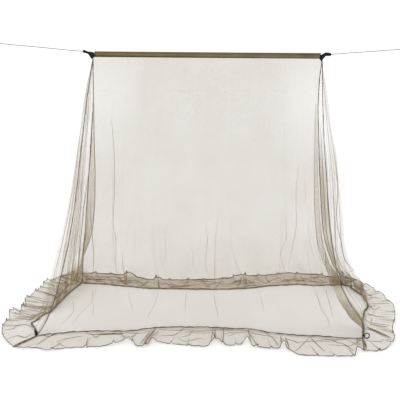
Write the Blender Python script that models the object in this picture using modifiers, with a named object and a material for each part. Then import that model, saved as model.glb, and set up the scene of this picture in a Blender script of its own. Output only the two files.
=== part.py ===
"""Mosquito net canopy for one sleeper, hung from a ridge strip, with a floor skirt.

Units are metres and +Z is up. The origin is the middle of the ridge strip's top edge,
where the net hangs. +X runs along the ridge to the right, and -Y is the front.
"""
import math

import bmesh
import bpy
from mathutils import Vector

# ---------------------------------------------------------------- driving dimensions
RIDGE_HALF = 0.766          # half the ridge strip's length
STRIP_TALL = 0.038          # the folded ridge strip on edge
STRIP_THICK = 0.009         # at its fold; it narrows to STRIP_FOOT at its lower edge
STRIP_FOOT = 0.007
STRIP_FULL = 0.45           # the share of its height over which it keeps its thickness
FLOOR = -1.853              # the floor, under the strip's top edge
NETTING = 0.0012            # a wall's netting
SKIRTING = 0.0015           # the skirt's netting with its rolled edge
SEAT = 0.0004               # gap left between pieces that are sewn together
BINDING = 0.0020            # radius of the binding tape on a seam or hem
CORD = 0.0015               # radius of the two suspension cords
PEG_RING = 0.0170           # middle radius of a corner peg ring
PEG_WIRE = 0.0019           # radius of its wire
EYE_RING = 0.0075           # middle radius of the sewn loop that holds a peg ring
EYE_WIRE = 0.0013
STRIP_END_SHARE = 0.0165    # the share of a hem under which the ridge strip ends
HEM_EASE = 1.3              # how late, on the way down, a wall takes up its hem's bends
FOLD_END = 0.93             # the drop from which a wall's folds flatten to its hem
FOLD_TURN = 0.54            # the share of a half turn over which the folds swell
BELLY_EASE = 0.8            # sets a gable's belly a little over half its height
WIDEST_STEP = 0.072         # the longest step between the columns of a wall or skirt

# The four lower corners. Columns: hem x, hem y, then x, y and lift of the skirt's corner.
CORNERS = {
    "front_left": (-1.114, -0.547, -1.214, -0.720, 0.004),
    "front_right": (1.036, -0.538, 0.994, -0.741, 0.008),
    "back_right": (1.137, 0.545, 1.290, 0.678, 0.004),
    "back_left": (-1.013, 0.540, -1.232, 0.702, 0.004),
}
# The seams' upper ends, under the end tabs.
APEX_X = 0.790
APEX_Y = 0.0046
APEX_Z = -0.0506
HEM_Z = FLOOR + BINDING + SEAT          # middle of the hem binding

# A seam hangs slack in the upright plane from its apex to its corner.
# Columns: drop (share of the height, from the top), reach (share of the way out).
SEAM_SAG = {
    "front_left": [(0, 0), (0.15, 0.11), (0.32, 0.22), (0.55, 0.38), (0.75, 0.59),
                   (0.91, 0.77), (0.97, 0.90), (1, 1)],
    "front_right": [(0, 0), (0.24, 0.10), (0.46, 0.22), (0.65, 0.36), (0.81, 0.54),
                    (0.89, 0.72), (0.95, 0.94), (1, 1)],
    "back_left": [(0, 0), (0.15, 0.05), (0.30, 0.20), (0.50, 0.44), (0.70, 0.69),
                  (0.85, 0.88), (0.95, 0.98), (1, 1)],
    "back_right": [(0, 0), (0.14, 0.01), (0.35, 0.12), (0.55, 0.25), (0.73, 0.43),
                   (0.85, 0.68), (0.95, 0.93), (1, 1)],
}

# Rows of drop at which every wall and seam is drawn, closer together near the floor.
DROPS = [0, 0.07, 0.19, 0.33, 0.47, 0.60, 0.72, 0.82, 0.90, 0.96, 1]

# Each side between its corners. Columns: along (share of the hem), hem x, hem y, edge x
# and edge y of the skirt, lift of the skirt's edge off the floor, and out, how far the
# wall's fold stands out of its plane just over the hem.
SIDES = {
    "front": [
        (0.035, -1.050, -0.520, -1.128, -0.748, 0.010, 0.004),
        (0.062, -0.990, -0.510, -1.070, -0.732, 0.002, -0.003),
        (0.095, -0.915, -0.482, -0.990, -0.775, 0.008, 0.010),
        (0.145, -0.810, -0.467, -0.860, -0.729, 0.001, -0.008),
        (0.210, -0.665, -0.456, -0.680, -0.704, 0.000, 0.006),
        (0.262, -0.550, -0.454, -0.530, -0.640, 0.016, -0.005),
        (0.275, -0.522, -0.452, -0.507, -0.614, 0.020, -0.004),
        (0.312, -0.440, -0.430, -0.428, -0.700, 0.004, 0.007),
        (0.345, -0.372, -0.404, -0.372, -0.688, 0.010, 0.003),
        (0.360, -0.340, -0.394, -0.345, -0.620, 0.026, -0.004),
        (0.380, -0.300, -0.387, -0.305, -0.640, 0.008, -0.004),
        (0.430, -0.190, -0.378, -0.200, -0.657, 0.000, 0.008),
        (0.515, -0.010, -0.380, 0.000, -0.692, 0.002, -0.006),
        (0.545, 0.055, -0.386, 0.064, -0.612, 0.020, 0.003),
        (0.585, 0.140, -0.392, 0.145, -0.674, 0.002, 0.006),
        (0.620, 0.220, -0.397, 0.222, -0.664, 0.004, -0.002),
        (0.645, 0.275, -0.402, 0.272, -0.602, 0.026, -0.006),
        (0.660, 0.305, -0.410, 0.302, -0.686, 0.004, -0.006),
        (0.735, 0.465, -0.458, 0.462, -0.719, 0.006, 0.006),
        (0.750, 0.495, -0.466, 0.492, -0.668, 0.026, 0.004),
        (0.765, 0.530, -0.474, 0.520, -0.730, 0.004, -0.003),
        (0.795, 0.595, -0.488, 0.590, -0.804, 0.000, -0.006),
        (0.875, 0.765, -0.516, 0.765, -0.816, 0.001, 0.010),
        (0.945, 0.915, -0.540, 0.912, -0.818, 0.003, -0.012),
        (0.970, 0.970, -0.545, 0.955, -0.728, 0.024, 0.006),
    ],
    "right": [
        (0.060, 1.060, -0.470, 1.070, -0.740, 0.002, 0.012),
        (0.115, 1.080, -0.405, 1.150, -0.692, 0.000, -0.010),
        (0.175, 1.098, -0.340, 1.248, -0.534, 0.016, 0.022),
        (0.235, 1.112, -0.270, 1.262, -0.440, 0.002, -0.012),
        (0.295, 1.132, -0.200, 1.292, -0.350, 0.024, 0.030),
        (0.355, 1.152, -0.130, 1.340, -0.230, 0.002, -0.014),
        (0.415, 1.174, -0.060, 1.362, -0.160, 0.028, 0.034),
        (0.475, 1.226, 0.020, 1.392, -0.060, 0.004, -0.010),
        (0.545, 1.230, 0.100, 1.414, 0.060, 0.018, 0.030),
        (0.615, 1.240, 0.180, 1.408, 0.190, 0.002, -0.012),
        (0.690, 1.240, 0.270, 1.400, 0.290, 0.016, 0.034),
        (0.765, 1.226, 0.350, 1.378, 0.390, 0.002, -0.012),
        (0.840, 1.206, 0.420, 1.354, 0.480, 0.014, 0.026),
        (0.920, 1.192, 0.500, 1.324, 0.580, 0.002, -0.008),
    ],
    "back": [
        (0.060, 1.010, 0.526, 1.206, 0.702, 0.012, 0.006),
        (0.110, 0.900, 0.520, 1.088, 0.750, 0.002, -0.008),
        (0.170, 0.770, 0.540, 0.926, 0.818, 0.000, 0.012),
        (0.230, 0.640, 0.520, 0.720, 0.812, 0.010, -0.008),
        (0.290, 0.510, 0.490, 0.560, 0.786, 0.002, 0.004),
        (0.350, 0.380, 0.440, 0.400, 0.734, 0.010, 0.010),
        (0.385, 0.305, 0.424, 0.310, 0.690, 0.034, -0.004),
        (0.420, 0.230, 0.414, 0.220, 0.690, 0.004, -0.008),
        (0.490, 0.075, 0.402, 0.070, 0.660, 0.000, 0.006),
        (0.560, -0.070, 0.400, -0.070, 0.638, 0.002, -0.006),
        (0.630, -0.220, 0.405, -0.220, 0.614, 0.006, 0.004),
        (0.690, -0.345, 0.408, -0.350, 0.612, 0.010, 0.006),
        (0.710, -0.385, 0.410, -0.385, 0.616, 0.032, -0.004),
        (0.740, -0.450, 0.414, -0.450, 0.624, 0.004, -0.006),
        (0.790, -0.560, 0.440, -0.560, 0.676, 0.004, 0.008),
        (0.825, -0.635, 0.460, -0.640, 0.728, 0.034, 0.002),
        (0.855, -0.695, 0.474, -0.720, 0.752, 0.004, -0.008),
        (0.900, -0.790, 0.496, -0.870, 0.786, 0.001, 0.012),
        (0.950, -0.900, 0.516, -1.060, 0.784, 0.006, -0.008),
    ],
    "left": [
        (0.070, -1.036, 0.460, -1.280, 0.612, 0.002, 0.014),
        (0.140, -1.052, 0.390, -1.318, 0.506, 0.020, -0.010),
        (0.210, -1.066, 0.320, -1.318, 0.430, 0.002, 0.026),
        (0.280, -1.078, 0.240, -1.316, 0.320, 0.024, -0.014),
        (0.350, -1.088, 0.160, -1.358, 0.200, 0.002, 0.032),
        (0.415, -1.098, 0.085, -1.358, 0.080, 0.032, -0.012),
        (0.480, -1.106, 0.010, -1.334, -0.010, 0.002, 0.034),
        (0.540, -1.112, -0.060, -1.340, -0.070, 0.034, -0.010),
        (0.600, -1.126, -0.125, -1.338, -0.120, 0.002, 0.030),
        (0.660, -1.164, -0.190, -1.398, -0.180, 0.038, -0.006),
        (0.725, -1.172, -0.260, -1.376, -0.270, 0.002, 0.026),
        (0.800, -1.200, -0.330, -1.382, -0.366, 0.012, -0.008),
        (0.870, -1.168, -0.400, -1.360, -0.482, 0.002, 0.010),
        (0.935, -1.128, -0.480, -1.300, -0.612, 0.010, 0.000),
    ],
}
SIDE_ENDS = {
    "front": ("front_left", "front_right"),
    "right": ("front_right", "back_right"),
    "back": ("back_right", "back_left"),
    "left": ("back_left", "front_left"),
}
# A gable bellies outward between its seams by this much at half its height.
BELLY = {"front": 0.0, "right": 0.022, "back": 0.0, "left": 0.028}
SIDE_ROWS = {
    side: [(0, *CORNERS[SIDE_ENDS[side][0]], 0), *rows, (1, *CORNERS[SIDE_ENDS[side][1]], 0)]
    for side, rows in SIDES.items()
}
# Which way each wall faces.
OUTWARD = {"front": (0, -1), "right": (1, 0), "back": (0, 1), "left": (-1, 0)}
# The rows across a skirt, as shares of its width from the hem.
SKIRT_ROWS = [0, 0.30, 0.62, 0.86, 1]

# The end tabs, lofted along x from the knot to the strip. Columns: x, z of the middle,
# half height, half thickness. Their sections are flat bands with eased edges.
TABS = {
    "left": [(-0.8560, -0.0005, 0.0030, 0.0030), (-0.8520, 0.0020, 0.0075, 0.0065),
             (-0.8440, -0.0010, 0.0072, 0.0062), (-0.8360, -0.0070, 0.0068, 0.0042),
             (-0.8200, -0.0160, 0.0120, 0.0050), (-0.8050, -0.0250, 0.0170, 0.0056),
             (-0.7950, -0.0290, 0.0205, 0.0058), (-0.7850, -0.0260, 0.0170, 0.0056),
             (-0.7664, -0.0220, 0.0120, 0.0046)],
    "right": [(0.8560, -0.0015, 0.0030, 0.0030), (0.8490, 0.0000, 0.0070, 0.0055),
              (0.8400, 0.0020, 0.0078, 0.0055), (0.8280, 0.0005, 0.0082, 0.0050),
              (0.8160, -0.0050, 0.0095, 0.0050), (0.8060, -0.0150, 0.0150, 0.0054),
              (0.7950, -0.0280, 0.0210, 0.0056), (0.7860, -0.0270, 0.0180, 0.0054),
              (0.7664, -0.0220, 0.0130, 0.0046)],
}
TAB_SECTION = [(1, -0.72), (1, 0.72), (0.6, 1), (-0.6, 1), (-1, 0.72), (-1, -0.72),
               (-0.6, -1), (0.6, -1)]

# The suspension cords' routes, from the tab's knot to the tied end loop. Columns: x, z.
CORD_ROUTES = {
    "left": [(-0.8566, -0.0005), (-0.9300, 0.0060), (-1.0300, 0.0160), (-1.1550, 0.0290),
             (-1.2800, 0.0400), (-1.3600, 0.0475), (-1.4420, 0.0555)],
    "right": [(0.8566, -0.0015), (0.9200, 0.0030), (1.0000, 0.0085), (1.0900, 0.0145),
              (1.1800, 0.0210), (1.2650, 0.0275), (1.3400, 0.0340)],
}
CORD_STEPS = 22
# The tied end loop: half its length, half its width, the knot's radius, and how sharply
# the cord swells into the knot.
LOOP_LONG = 0.0210
LOOP_WIDE = 0.0085
LOOP_KNOT = 0.0036
LOOP_SWELL = 6
LOOP_TURNS = 18
LOOP_SIDES = 6

# The four corner peg rings, each hung in a sewn eye on the foot of its seam. Columns,
# in degrees: the way from the seam to the eye, the way the ring stands out from the eye,
# and how far the ring leans. The last is the eye's extra distance from a slanting seam.
PEG_RINGS = {
    "front_left": (215, 120, -12, 0.0022),
    "front_right": (-40, 0, 0, 0.0),
    "back_left": (120, 180, 0, 0.0),
    "back_right": (60, 0, 0, 0.0),
}


# ---------------------------------------------------------------- curves and tables
def smooth(rows, at):
    """Read a table at a value of its first column, on a smooth curve through its rows."""
    last = len(rows) - 2
    index = 0
    while index < last and at > rows[index + 1][0]:
        index += 1
    before = rows[max(index - 1, 0)]
    start = rows[index]
    end = rows[index + 1]
    after = rows[min(index + 2, last + 1)]
    span = end[0] - start[0]
    share = (at - start[0]) / span
    values = []
    for column in range(1, len(start)):
        slope = (end[column] - start[column]) / span
        rise = slope
        if start is not before:
            back = (start[column] - before[column]) / (start[0] - before[0])
            rise = 2 * slope * back / (slope + back) if slope * back > 0 else 0
        fall = slope
        if end is not after:
            ahead = (after[column] - end[column]) / (after[0] - end[0])
            fall = 2 * slope * ahead / (slope + ahead) if slope * ahead > 0 else 0
        values.append(
            start[column] * (1 + 2 * share) * (1 - share) ** 2
            + end[column] * share ** 2 * (3 - 2 * share)
            + span * rise * share * (1 - share) ** 2
            + span * fall * share ** 2 * (share - 1))
    return values


def columns_of(side):
    """The shares of a hem at which its wall, binding and skirt are drawn."""
    hem = SIDE_ROWS[side]
    shares = [0, STRIP_END_SHARE, 1 - STRIP_END_SHARE]
    for start, end in zip(hem, hem[1:]):
        length = math.dist(start[1:3], end[1:3])
        steps = max(1, math.ceil(length / WIDEST_STEP))
        for step in range(steps):
            shares.append(end[0] + (start[0] - end[0]) * step / steps)
    return sorted(shares)


def seam_point(corner, drop):
    """A point of the seam that falls from an apex to a corner."""
    x, y = CORNERS[corner][:2]
    top = Vector((math.copysign(APEX_X, x), math.copysign(APEX_Y, y), APEX_Z))
    foot = Vector((x, y, HEM_Z))
    reach = smooth(SEAM_SAG[corner], drop)[0]
    point = top.lerp(foot, reach)
    point.z = top.z + (foot.z - top.z) * drop
    return point


def seam_course(corner):
    """The points of a seam's binding, which stops just over the hem's binding."""
    points = [seam_point(corner, drop) for drop in DROPS]
    points[-1].z += BINDING + 2 * SEAT
    return points


def seam_at(corner, z):
    """The point of a seam's lowest stretch at a given height."""
    upper, lower = seam_course(corner)[-2:]
    return upper.lerp(lower, (upper.z - z) / (upper.z - lower.z))


def hem_point(side, along):
    x, y = smooth(SIDE_ROWS[side], along)[:2]
    return Vector((x, y, HEM_Z))


def wall_point(side, along, drop):
    """A point of a wall: between its two seams, over its hem, with its folds."""
    first, second = SIDE_ENDS[side]
    left = seam_point(first, drop)
    right = seam_point(second, drop)
    point = left.lerp(right, along)
    foot = seam_point(first, 1).lerp(seam_point(second, 1), along)
    point += (hem_point(side, along) - foot) * drop ** HEM_EASE
    out = smooth(SIDE_ROWS[side], along)[5]
    swell = math.sin(math.pi * FOLD_TURN * min(drop, FOLD_END))
    flatten = 1 - max(0, drop - FOLD_END) / (1 - FOLD_END)
    belly = math.sin(math.pi * along) * math.sin(math.pi * drop ** BELLY_EASE)
    offset = out * swell * flatten + BELLY[side] * belly
    point += Vector((*OUTWARD[side], 0)) * offset
    return point


# ---------------------------------------------------------------- making objects
def material(name, color, roughness):
    finish = bpy.data.materials.new(name)
    finish.use_nodes = True
    shader = finish.node_tree.nodes["Principled BSDF"]
    shader.inputs["Base Color"].default_value = (*color, 1)
    shader.inputs["Roughness"].default_value = roughness
    shader.inputs["Metallic"].default_value = 0
    return finish


def add_object(name, data, finish):
    piece = bpy.data.objects.new(name, data)
    data.materials.append(finish)
    collection.objects.link(piece)
    return piece


def sheet(name, rows, thickness, offset, finish):
    """A sheet of cloth through rows of points, given its thickness by Solidify."""
    shape = bmesh.new()
    grid = [[shape.verts.new(point) for point in row] for row in rows]
    for upper, lower in zip(grid, grid[1:]):
        for step in range(len(upper) - 1):
            shape.faces.new((upper[step], lower[step], lower[step + 1], upper[step + 1]))
    mesh = bpy.data.meshes.new(name)
    shape.to_mesh(mesh)
    shape.free()
    mesh.shade_smooth()
    piece = add_object(name, mesh, finish)
    wall = piece.modifiers.new("Solidify", "SOLIDIFY")
    wall.thickness = thickness
    wall.offset = offset
    return piece


def tube(name, points, radius, resolution, finish):
    """A tape or cord: a curve with a round section and filled ends."""
    curve = bpy.data.curves.new(name, "CURVE")
    curve.dimensions = "3D"
    curve.bevel_depth = radius
    curve.bevel_resolution = resolution
    curve.use_fill_caps = True
    line = curve.splines.new("POLY")
    line.points.add(len(points) - 1)
    for place, point in zip(line.points, points):
        place.co = (*point, 1)
    return add_object(name, curve, finish)


def loft(name, sections, finish):
    """A closed body through rings of points, with flat ends."""
    shape = bmesh.new()
    rings = [[shape.verts.new(point) for point in section] for section in sections]
    for ring, following in zip(rings, rings[1:]):
        for step in range(len(ring)):
            after = (step + 1) % len(ring)
            shape.faces.new((ring[step], ring[after], following[after], following[step]))
    shape.faces.new(list(reversed(rings[0])))
    shape.faces.new(rings[-1])
    bmesh.ops.recalc_face_normals(shape, faces=shape.faces)
    mesh = bpy.data.meshes.new(name)
    shape.to_mesh(mesh)
    shape.free()
    mesh.shade_smooth()
    mesh.set_sharp_from_angle(angle=math.radians(40))
    return add_object(name, mesh, finish)


def ring(name, centre, radius, wire, segments, tilt, turn, finish):
    """A round ring lying flat, then tilted about X and turned about Z."""
    bpy.ops.mesh.primitive_torus_add(
        major_radius=radius, minor_radius=wire, major_segments=segments, minor_segments=6)
    piece = bpy.context.object
    piece.name = name
    piece.data.name = name
    piece.data.shade_smooth()
    piece.data.materials.append(finish)
    piece.rotation_euler = (math.radians(tilt), 0, math.radians(turn))
    piece.location = centre
    for holder in list(piece.users_collection):
        holder.objects.unlink(piece)
    collection.objects.link(piece)


# ---------------------------------------------------------------- the pieces
def ridge_strip(finish):
    """The woven strip, folded over and standing on edge, flat at its foot."""
    half = STRIP_THICK / 2
    foot = STRIP_FOOT / 2
    crown = [(half * math.cos(turn), half * math.sin(turn) - half)
             for turn in (math.radians(30 * step) for step in range(7))]
    outline = crown + [(-half, -STRIP_TALL * STRIP_FULL), (-foot, -STRIP_TALL),
                       (foot, -STRIP_TALL), (half, -STRIP_TALL * STRIP_FULL)]
    stations = 9
    sections = []
    for station in range(stations):
        x = RIDGE_HALF * (2 * station / (stations - 1) - 1)
        sections.append([(x, y, z) for y, z in outline])
    loft("ridge_strip", sections, finish)


def end_tab(side, finish):
    """The black webbing tab, wide where it is sewn to the strip and drawn into a knot."""
    sections = []
    for x, z, tall, thick in TABS[side]:
        sections.append([(x, thick * across, z + tall * up) for across, up in TAB_SECTION])
    loft("end_tab_" + side, sections, finish)


def cord_points(route, steps):
    """Points along a smooth curve through a route's points, all in the ridge plane."""
    table = [(abs(x), x, z) for x, z in route]
    start = table[0][0]
    end = table[-1][0]
    points = []
    for step in range(steps + 1):
        x, z = smooth(table, start + (end - start) * step / steps)
        points.append(Vector((x, 0, z)))
    return points


def suspension_cord(side, finish):
    """The taut cord, and the loop tied at its far end."""
    points = cord_points(CORD_ROUTES[side], CORD_STEPS)
    tube("cord_" + side, points, CORD, 2, finish)
    end_loop("cord_loop_" + side, points[-1], (points[-1] - points[-2]).normalized(), finish)


def end_loop(name, start, along, finish):
    """A narrow loop in the ridge plane, its knot next to the cord's end."""
    across = Vector((-along.z, 0, along.x))
    centre = start + along * (LOOP_LONG + LOOP_KNOT + SEAT)
    shape = bmesh.new()
    rings = []
    for turn in range(LOOP_TURNS):
        angle = 2 * math.pi * turn / LOOP_TURNS
        toward = math.cos(angle)
        wire = CORD + (LOOP_KNOT - CORD) * max(0, -toward) ** LOOP_SWELL
        radial = along * toward + across * math.sin(angle)
        middle = centre + along * LOOP_LONG * toward + across * LOOP_WIDE * math.sin(angle)
        section = []
        for step in range(LOOP_SIDES):
            slope = 2 * math.pi * step / LOOP_SIDES
            point = middle + radial * wire * math.cos(slope)
            point += Vector((0, wire * math.sin(slope), 0))
            section.append(shape.verts.new(point))
        rings.append(section)
    for turn in range(LOOP_TURNS):
        here = rings[turn]
        there = rings[(turn + 1) % LOOP_TURNS]
        for step in range(LOOP_SIDES):
            after = (step + 1) % LOOP_SIDES
            shape.faces.new((here[step], here[after], there[after], there[step]))
    bmesh.ops.recalc_face_normals(shape, faces=shape.faces)
    mesh = bpy.data.meshes.new(name)
    shape.to_mesh(mesh)
    shape.free()
    mesh.shade_smooth()
    add_object(name, mesh, finish)


def clear_of(course, level, way):
    """The way that leads off a seam squarely to its own run, as near as can be to `way`."""
    before = course[max(level - 1, 0)]
    after = course[min(level + 1, len(course) - 1)]
    run = (after - before).normalized()
    return (way - run * way.dot(run)).normalized()


def wall(side, finish):
    """One netting wall, hung from the strip or tab and held back from its bindings."""
    inset = BINDING + SEAT + (NETTING / 2 if BELLY[side] else 0)
    first, second = (seam_course(corner) for corner in SIDE_ENDS[side])
    shares = columns_of(side)
    rows = []
    for level, drop in enumerate(DROPS):
        row = [wall_point(side, along, drop) for along in shares]
        run = (row[-1] - row[0]).normalized()
        from_first = clear_of(first, level, run) * inset
        from_second = clear_of(second, level, -run) * inset
        for point, along in zip(row, shares):
            point += from_first.lerp(from_second, along)
        rows.append(row)
    for point in rows[-1]:
        point.z = HEM_Z + BINDING + SEAT + NETTING / 4
    if BELLY[side] == 0:
        depth = math.copysign(NETTING, OUTWARD[side][1])
        for point in rows[0]:
            if abs(point.x) < RIDGE_HALF:
                point.y = depth
                point.z = -STRIP_TALL - SEAT - NETTING / 4
    sheet("net_" + side, rows, NETTING, 0, finish)


def seam_binding(corner, finish):
    tube("seam_" + corner, seam_course(corner), BINDING, 1, finish)


def hem_binding(side, finish):
    """The binding where a wall meets its skirt, short of the corners' mitres."""
    points = [hem_point(side, along) for along in columns_of(side)]
    short = 1.5 * BINDING + SEAT
    for end, inner in ((0, 1), (-1, -2)):
        run = (points[inner] - points[end]).normalized()
        points[end] += run * short
    tube("hem_" + side, points, BINDING, 0, finish)


def beside_hem(points, distance):
    """A line beside a hem, on its outer side, mitred at each bend."""
    line = []
    for index, point in enumerate(points):
        back = (point - points[max(index - 1, 0)]).normalized()
        ahead = (points[min(index + 1, len(points) - 1)] - point).normalized()
        run = (back + ahead).normalized()
        outward = Vector((run.y, -run.x, 0))
        straight = ahead if index == 0 else back
        square = Vector((straight.y, -straight.x, 0))
        line.append(point + outward * distance / outward.dot(square))
    return line


def skirt(side, finish):
    """The ruffled skirt: flat on the floor by the hem, lifted in folds at its edge."""
    shares = columns_of(side)
    hem = [hem_point(side, along) for along in shares]
    inner = beside_hem(hem, BINDING)
    rows = [[] for _ in SKIRT_ROWS]
    for start, along in zip(inner, shares):
        edge_x, edge_y, lift = smooth(SIDE_ROWS[side], along)[2:5]
        start = Vector((start.x, start.y, FLOOR))
        edge = Vector((edge_x, edge_y, FLOOR))
        for row, width in zip(rows, SKIRT_ROWS):
            point = start.lerp(edge, width)
            point.z += lift * max(0, width - SKIRT_ROWS[1]) / (1 - SKIRT_ROWS[1])
            row.append(point)
    part_by = 1.5 * SEAT
    for end, corner in zip((0, -1), SIDE_ENDS[side]):
        mitre = Vector((*CORNERS[corner][2:4], 0)) - Vector((*CORNERS[corner][:2], 0))
        square = Vector((-mitre.y, mitre.x, 0)).normalized() * (1 if end == 0 else -1)
        for row, width in zip(rows, SKIRT_ROWS):
            row[end] += square * part_by * width
    sheet("skirt_" + side, rows, SKIRTING, 1, finish)


def peg_ring(corner, finish, loop_finish):
    """A ring standing on the skirt by its corner, linked through the eye on the seam."""
    to_eye, to_ring, lean, spare = PEG_RINGS[corner]
    height = FLOOR + SKIRTING + SEAT + PEG_RING + PEG_WIRE
    out = Vector((math.cos(math.radians(to_eye)), math.sin(math.radians(to_eye)), 0))
    beside = Vector((math.cos(math.radians(to_ring)), math.sin(math.radians(to_ring)), 0))
    reach = BINDING + SEAT + EYE_WIRE + EYE_RING + spare
    eye = seam_at(corner, height) + out * reach
    held = eye + out * (EYE_RING - EYE_WIRE - 2 * SEAT - PEG_WIRE)
    ring("peg_eye_" + corner, eye, EYE_RING, EYE_WIRE, 12, 0, 0, loop_finish)
    ring("peg_ring_" + corner, held + beside * PEG_RING, PEG_RING, PEG_WIRE, 16,
         90 + lean, to_ring, finish)


# ---------------------------------------------------------------- the model
for existing in list(bpy.data.objects):
    bpy.data.objects.remove(existing)

collection = bpy.data.collections.new("mosquito_net_canopy")
bpy.context.scene.collection.children.link(collection)

webbing_brown = material("ridge_webbing", (0.165, 0.125, 0.065), 0.85)
webbing_black = material("tab_webbing", (0.012, 0.011, 0.011), 0.8)
cord_grey = material("cord_braid", (0.045, 0.045, 0.048), 0.7)
netting = material("netting", (0.42, 0.38, 0.30), 0.9)
skirt_netting = material("skirt_netting", (0.38, 0.34, 0.27), 0.9)
binding = material("binding_tape", (0.10, 0.085, 0.055), 0.85)
ring_black = material("peg_ring", (0.015, 0.015, 0.015), 0.4)

ridge_strip(webbing_brown)
for hand in ("left", "right"):
    end_tab(hand, webbing_black)
    suspension_cord(hand, cord_grey)
for side_name in SIDES:
    wall(side_name, netting)
    hem_binding(side_name, binding)
    skirt(side_name, skirt_netting)
for corner_name in CORNERS:
    seam_binding(corner_name, binding)
    peg_ring(corner_name, ring_black, webbing_black)
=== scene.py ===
"""Mosquito net canopy for one sleeper, dressed for rendering.

Metres and +Z up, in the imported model's frame: the origin is the middle of the ridge
strip's top edge, +X runs right along the ridge, and -Y is the front.
"""
import math

import bmesh
import bpy
from mathutils import Euler, Matrix, Vector, noise


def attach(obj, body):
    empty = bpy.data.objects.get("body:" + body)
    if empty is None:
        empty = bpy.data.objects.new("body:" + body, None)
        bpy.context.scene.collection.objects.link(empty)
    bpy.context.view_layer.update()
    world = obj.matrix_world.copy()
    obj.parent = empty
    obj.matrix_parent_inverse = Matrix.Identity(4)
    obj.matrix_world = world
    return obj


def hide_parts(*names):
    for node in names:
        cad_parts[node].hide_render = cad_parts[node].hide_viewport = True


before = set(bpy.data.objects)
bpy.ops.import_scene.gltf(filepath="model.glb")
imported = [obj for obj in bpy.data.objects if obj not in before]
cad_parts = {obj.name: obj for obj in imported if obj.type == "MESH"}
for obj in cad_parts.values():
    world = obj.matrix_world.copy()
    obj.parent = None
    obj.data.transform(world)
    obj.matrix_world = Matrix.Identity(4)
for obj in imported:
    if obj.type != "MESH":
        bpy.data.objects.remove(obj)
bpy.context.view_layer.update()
bpy.ops.object.select_all(action="DESELECT")
noise.seed_set(5)

# ---------------------------------------------------------------------------- camera
# Eye level of someone standing 4.4 m in front of the ridge, looking a little down.
# The size of the view is the photo's: 400 by 400.
camera = bpy.data.objects.new("camera", bpy.data.cameras.new("camera"))
bpy.context.scene.collection.objects.link(camera)
bpy.context.scene.camera = camera
camera.data.lens = 56.0
camera.data.sensor_width = 36
camera.location = (-0.044, -4.394, -0.178)
looking_down = Euler((math.radians(90 - 11.05), 0, 0)).to_matrix()
camera.rotation_euler = (looking_down @ Matrix.Rotation(math.radians(0.45), 3, "Z")).to_euler()

# ----------------------------------------------------------------- suspension cords
# Two thin braided cords, pulled taut from the tabs' knots. Each ends in a loop tied in
# the cord itself, which goes over a hook or round a branch just outside the view.
# Columns: x, z.
CORD_ROUTES = {
    "left": [(-0.8550, -0.0010), (-0.9300, 0.0045), (-1.0300, 0.0130), (-1.1550, 0.0245),
             (-1.2800, 0.0345), (-1.3600, 0.0412), (-1.4420, 0.0485)],
    "right": [(0.8516, -0.0090), (0.9200, -0.0020), (1.0000, 0.0040), (1.0900, 0.0108),
              (1.1800, 0.0178), (1.2650, 0.0243), (1.3400, 0.0310)],
}
CORD_STEPS = 22
CORD_COLOURS = {"left": (0.012, 0.012, 0.013), "right": (0.040, 0.040, 0.043)}
CORD_RADIUS = 0.0018
LOOP_LONG = 0.0210          # half the end loop's length
LOOP_WIDE = 0.0085          # half its width
LOOP_GAP = 0.0040
LOOP_STEPS = 40
KNOT_RADIUS = 0.0024        # of the knot's turns round the loop's neck
KNOT_LONG = 0.0030
KNOT_TURNS = 3
KNOT_STEPS = 14             # in a turn


def smooth(rows, at):
    """Read a table at a value of its first column, on a smooth curve through its rows."""
    last = len(rows) - 2
    index = 0
    while index < last and at > rows[index + 1][0]:
        index += 1
    before = rows[max(index - 1, 0)]
    start = rows[index]
    end = rows[index + 1]
    after = rows[min(index + 2, last + 1)]
    span = end[0] - start[0]
    share = (at - start[0]) / span
    values = []
    for column in range(1, len(start)):
        slope = (end[column] - start[column]) / span
        rise = slope
        if start is not before:
            back = (start[column] - before[column]) / (start[0] - before[0])
            rise = 2 * slope * back / (slope + back) if slope * back > 0 else 0
        fall = slope
        if end is not after:
            ahead = (after[column] - end[column]) / (after[0] - end[0])
            fall = 2 * slope * ahead / (slope + ahead) if slope * ahead > 0 else 0
        values.append(
            start[column] * (1 + 2 * share) * (1 - share) ** 2
            + end[column] * share ** 2 * (3 - 2 * share)
            + span * rise * share * (1 - share) ** 2
            + span * fall * share ** 2 * (share - 1))
    return values


def lengths_along(points):
    """How far along a line each of its points lies."""
    lengths = [0.0]
    for before, after in zip(points, points[1:]):
        lengths.append(lengths[-1] + (after - before).length)
    return lengths


def new_mesh(name, shape, *finishes):
    """A finished mesh object, with its place in its mesh."""
    mesh = bpy.data.meshes.new(name)
    shape.to_mesh(mesh)
    shape.free()
    mesh.shade_smooth()
    piece = bpy.data.objects.new(name, mesh)
    for finish in finishes:
        mesh.materials.append(finish)
    bpy.context.scene.collection.objects.link(piece)
    return piece


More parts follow.
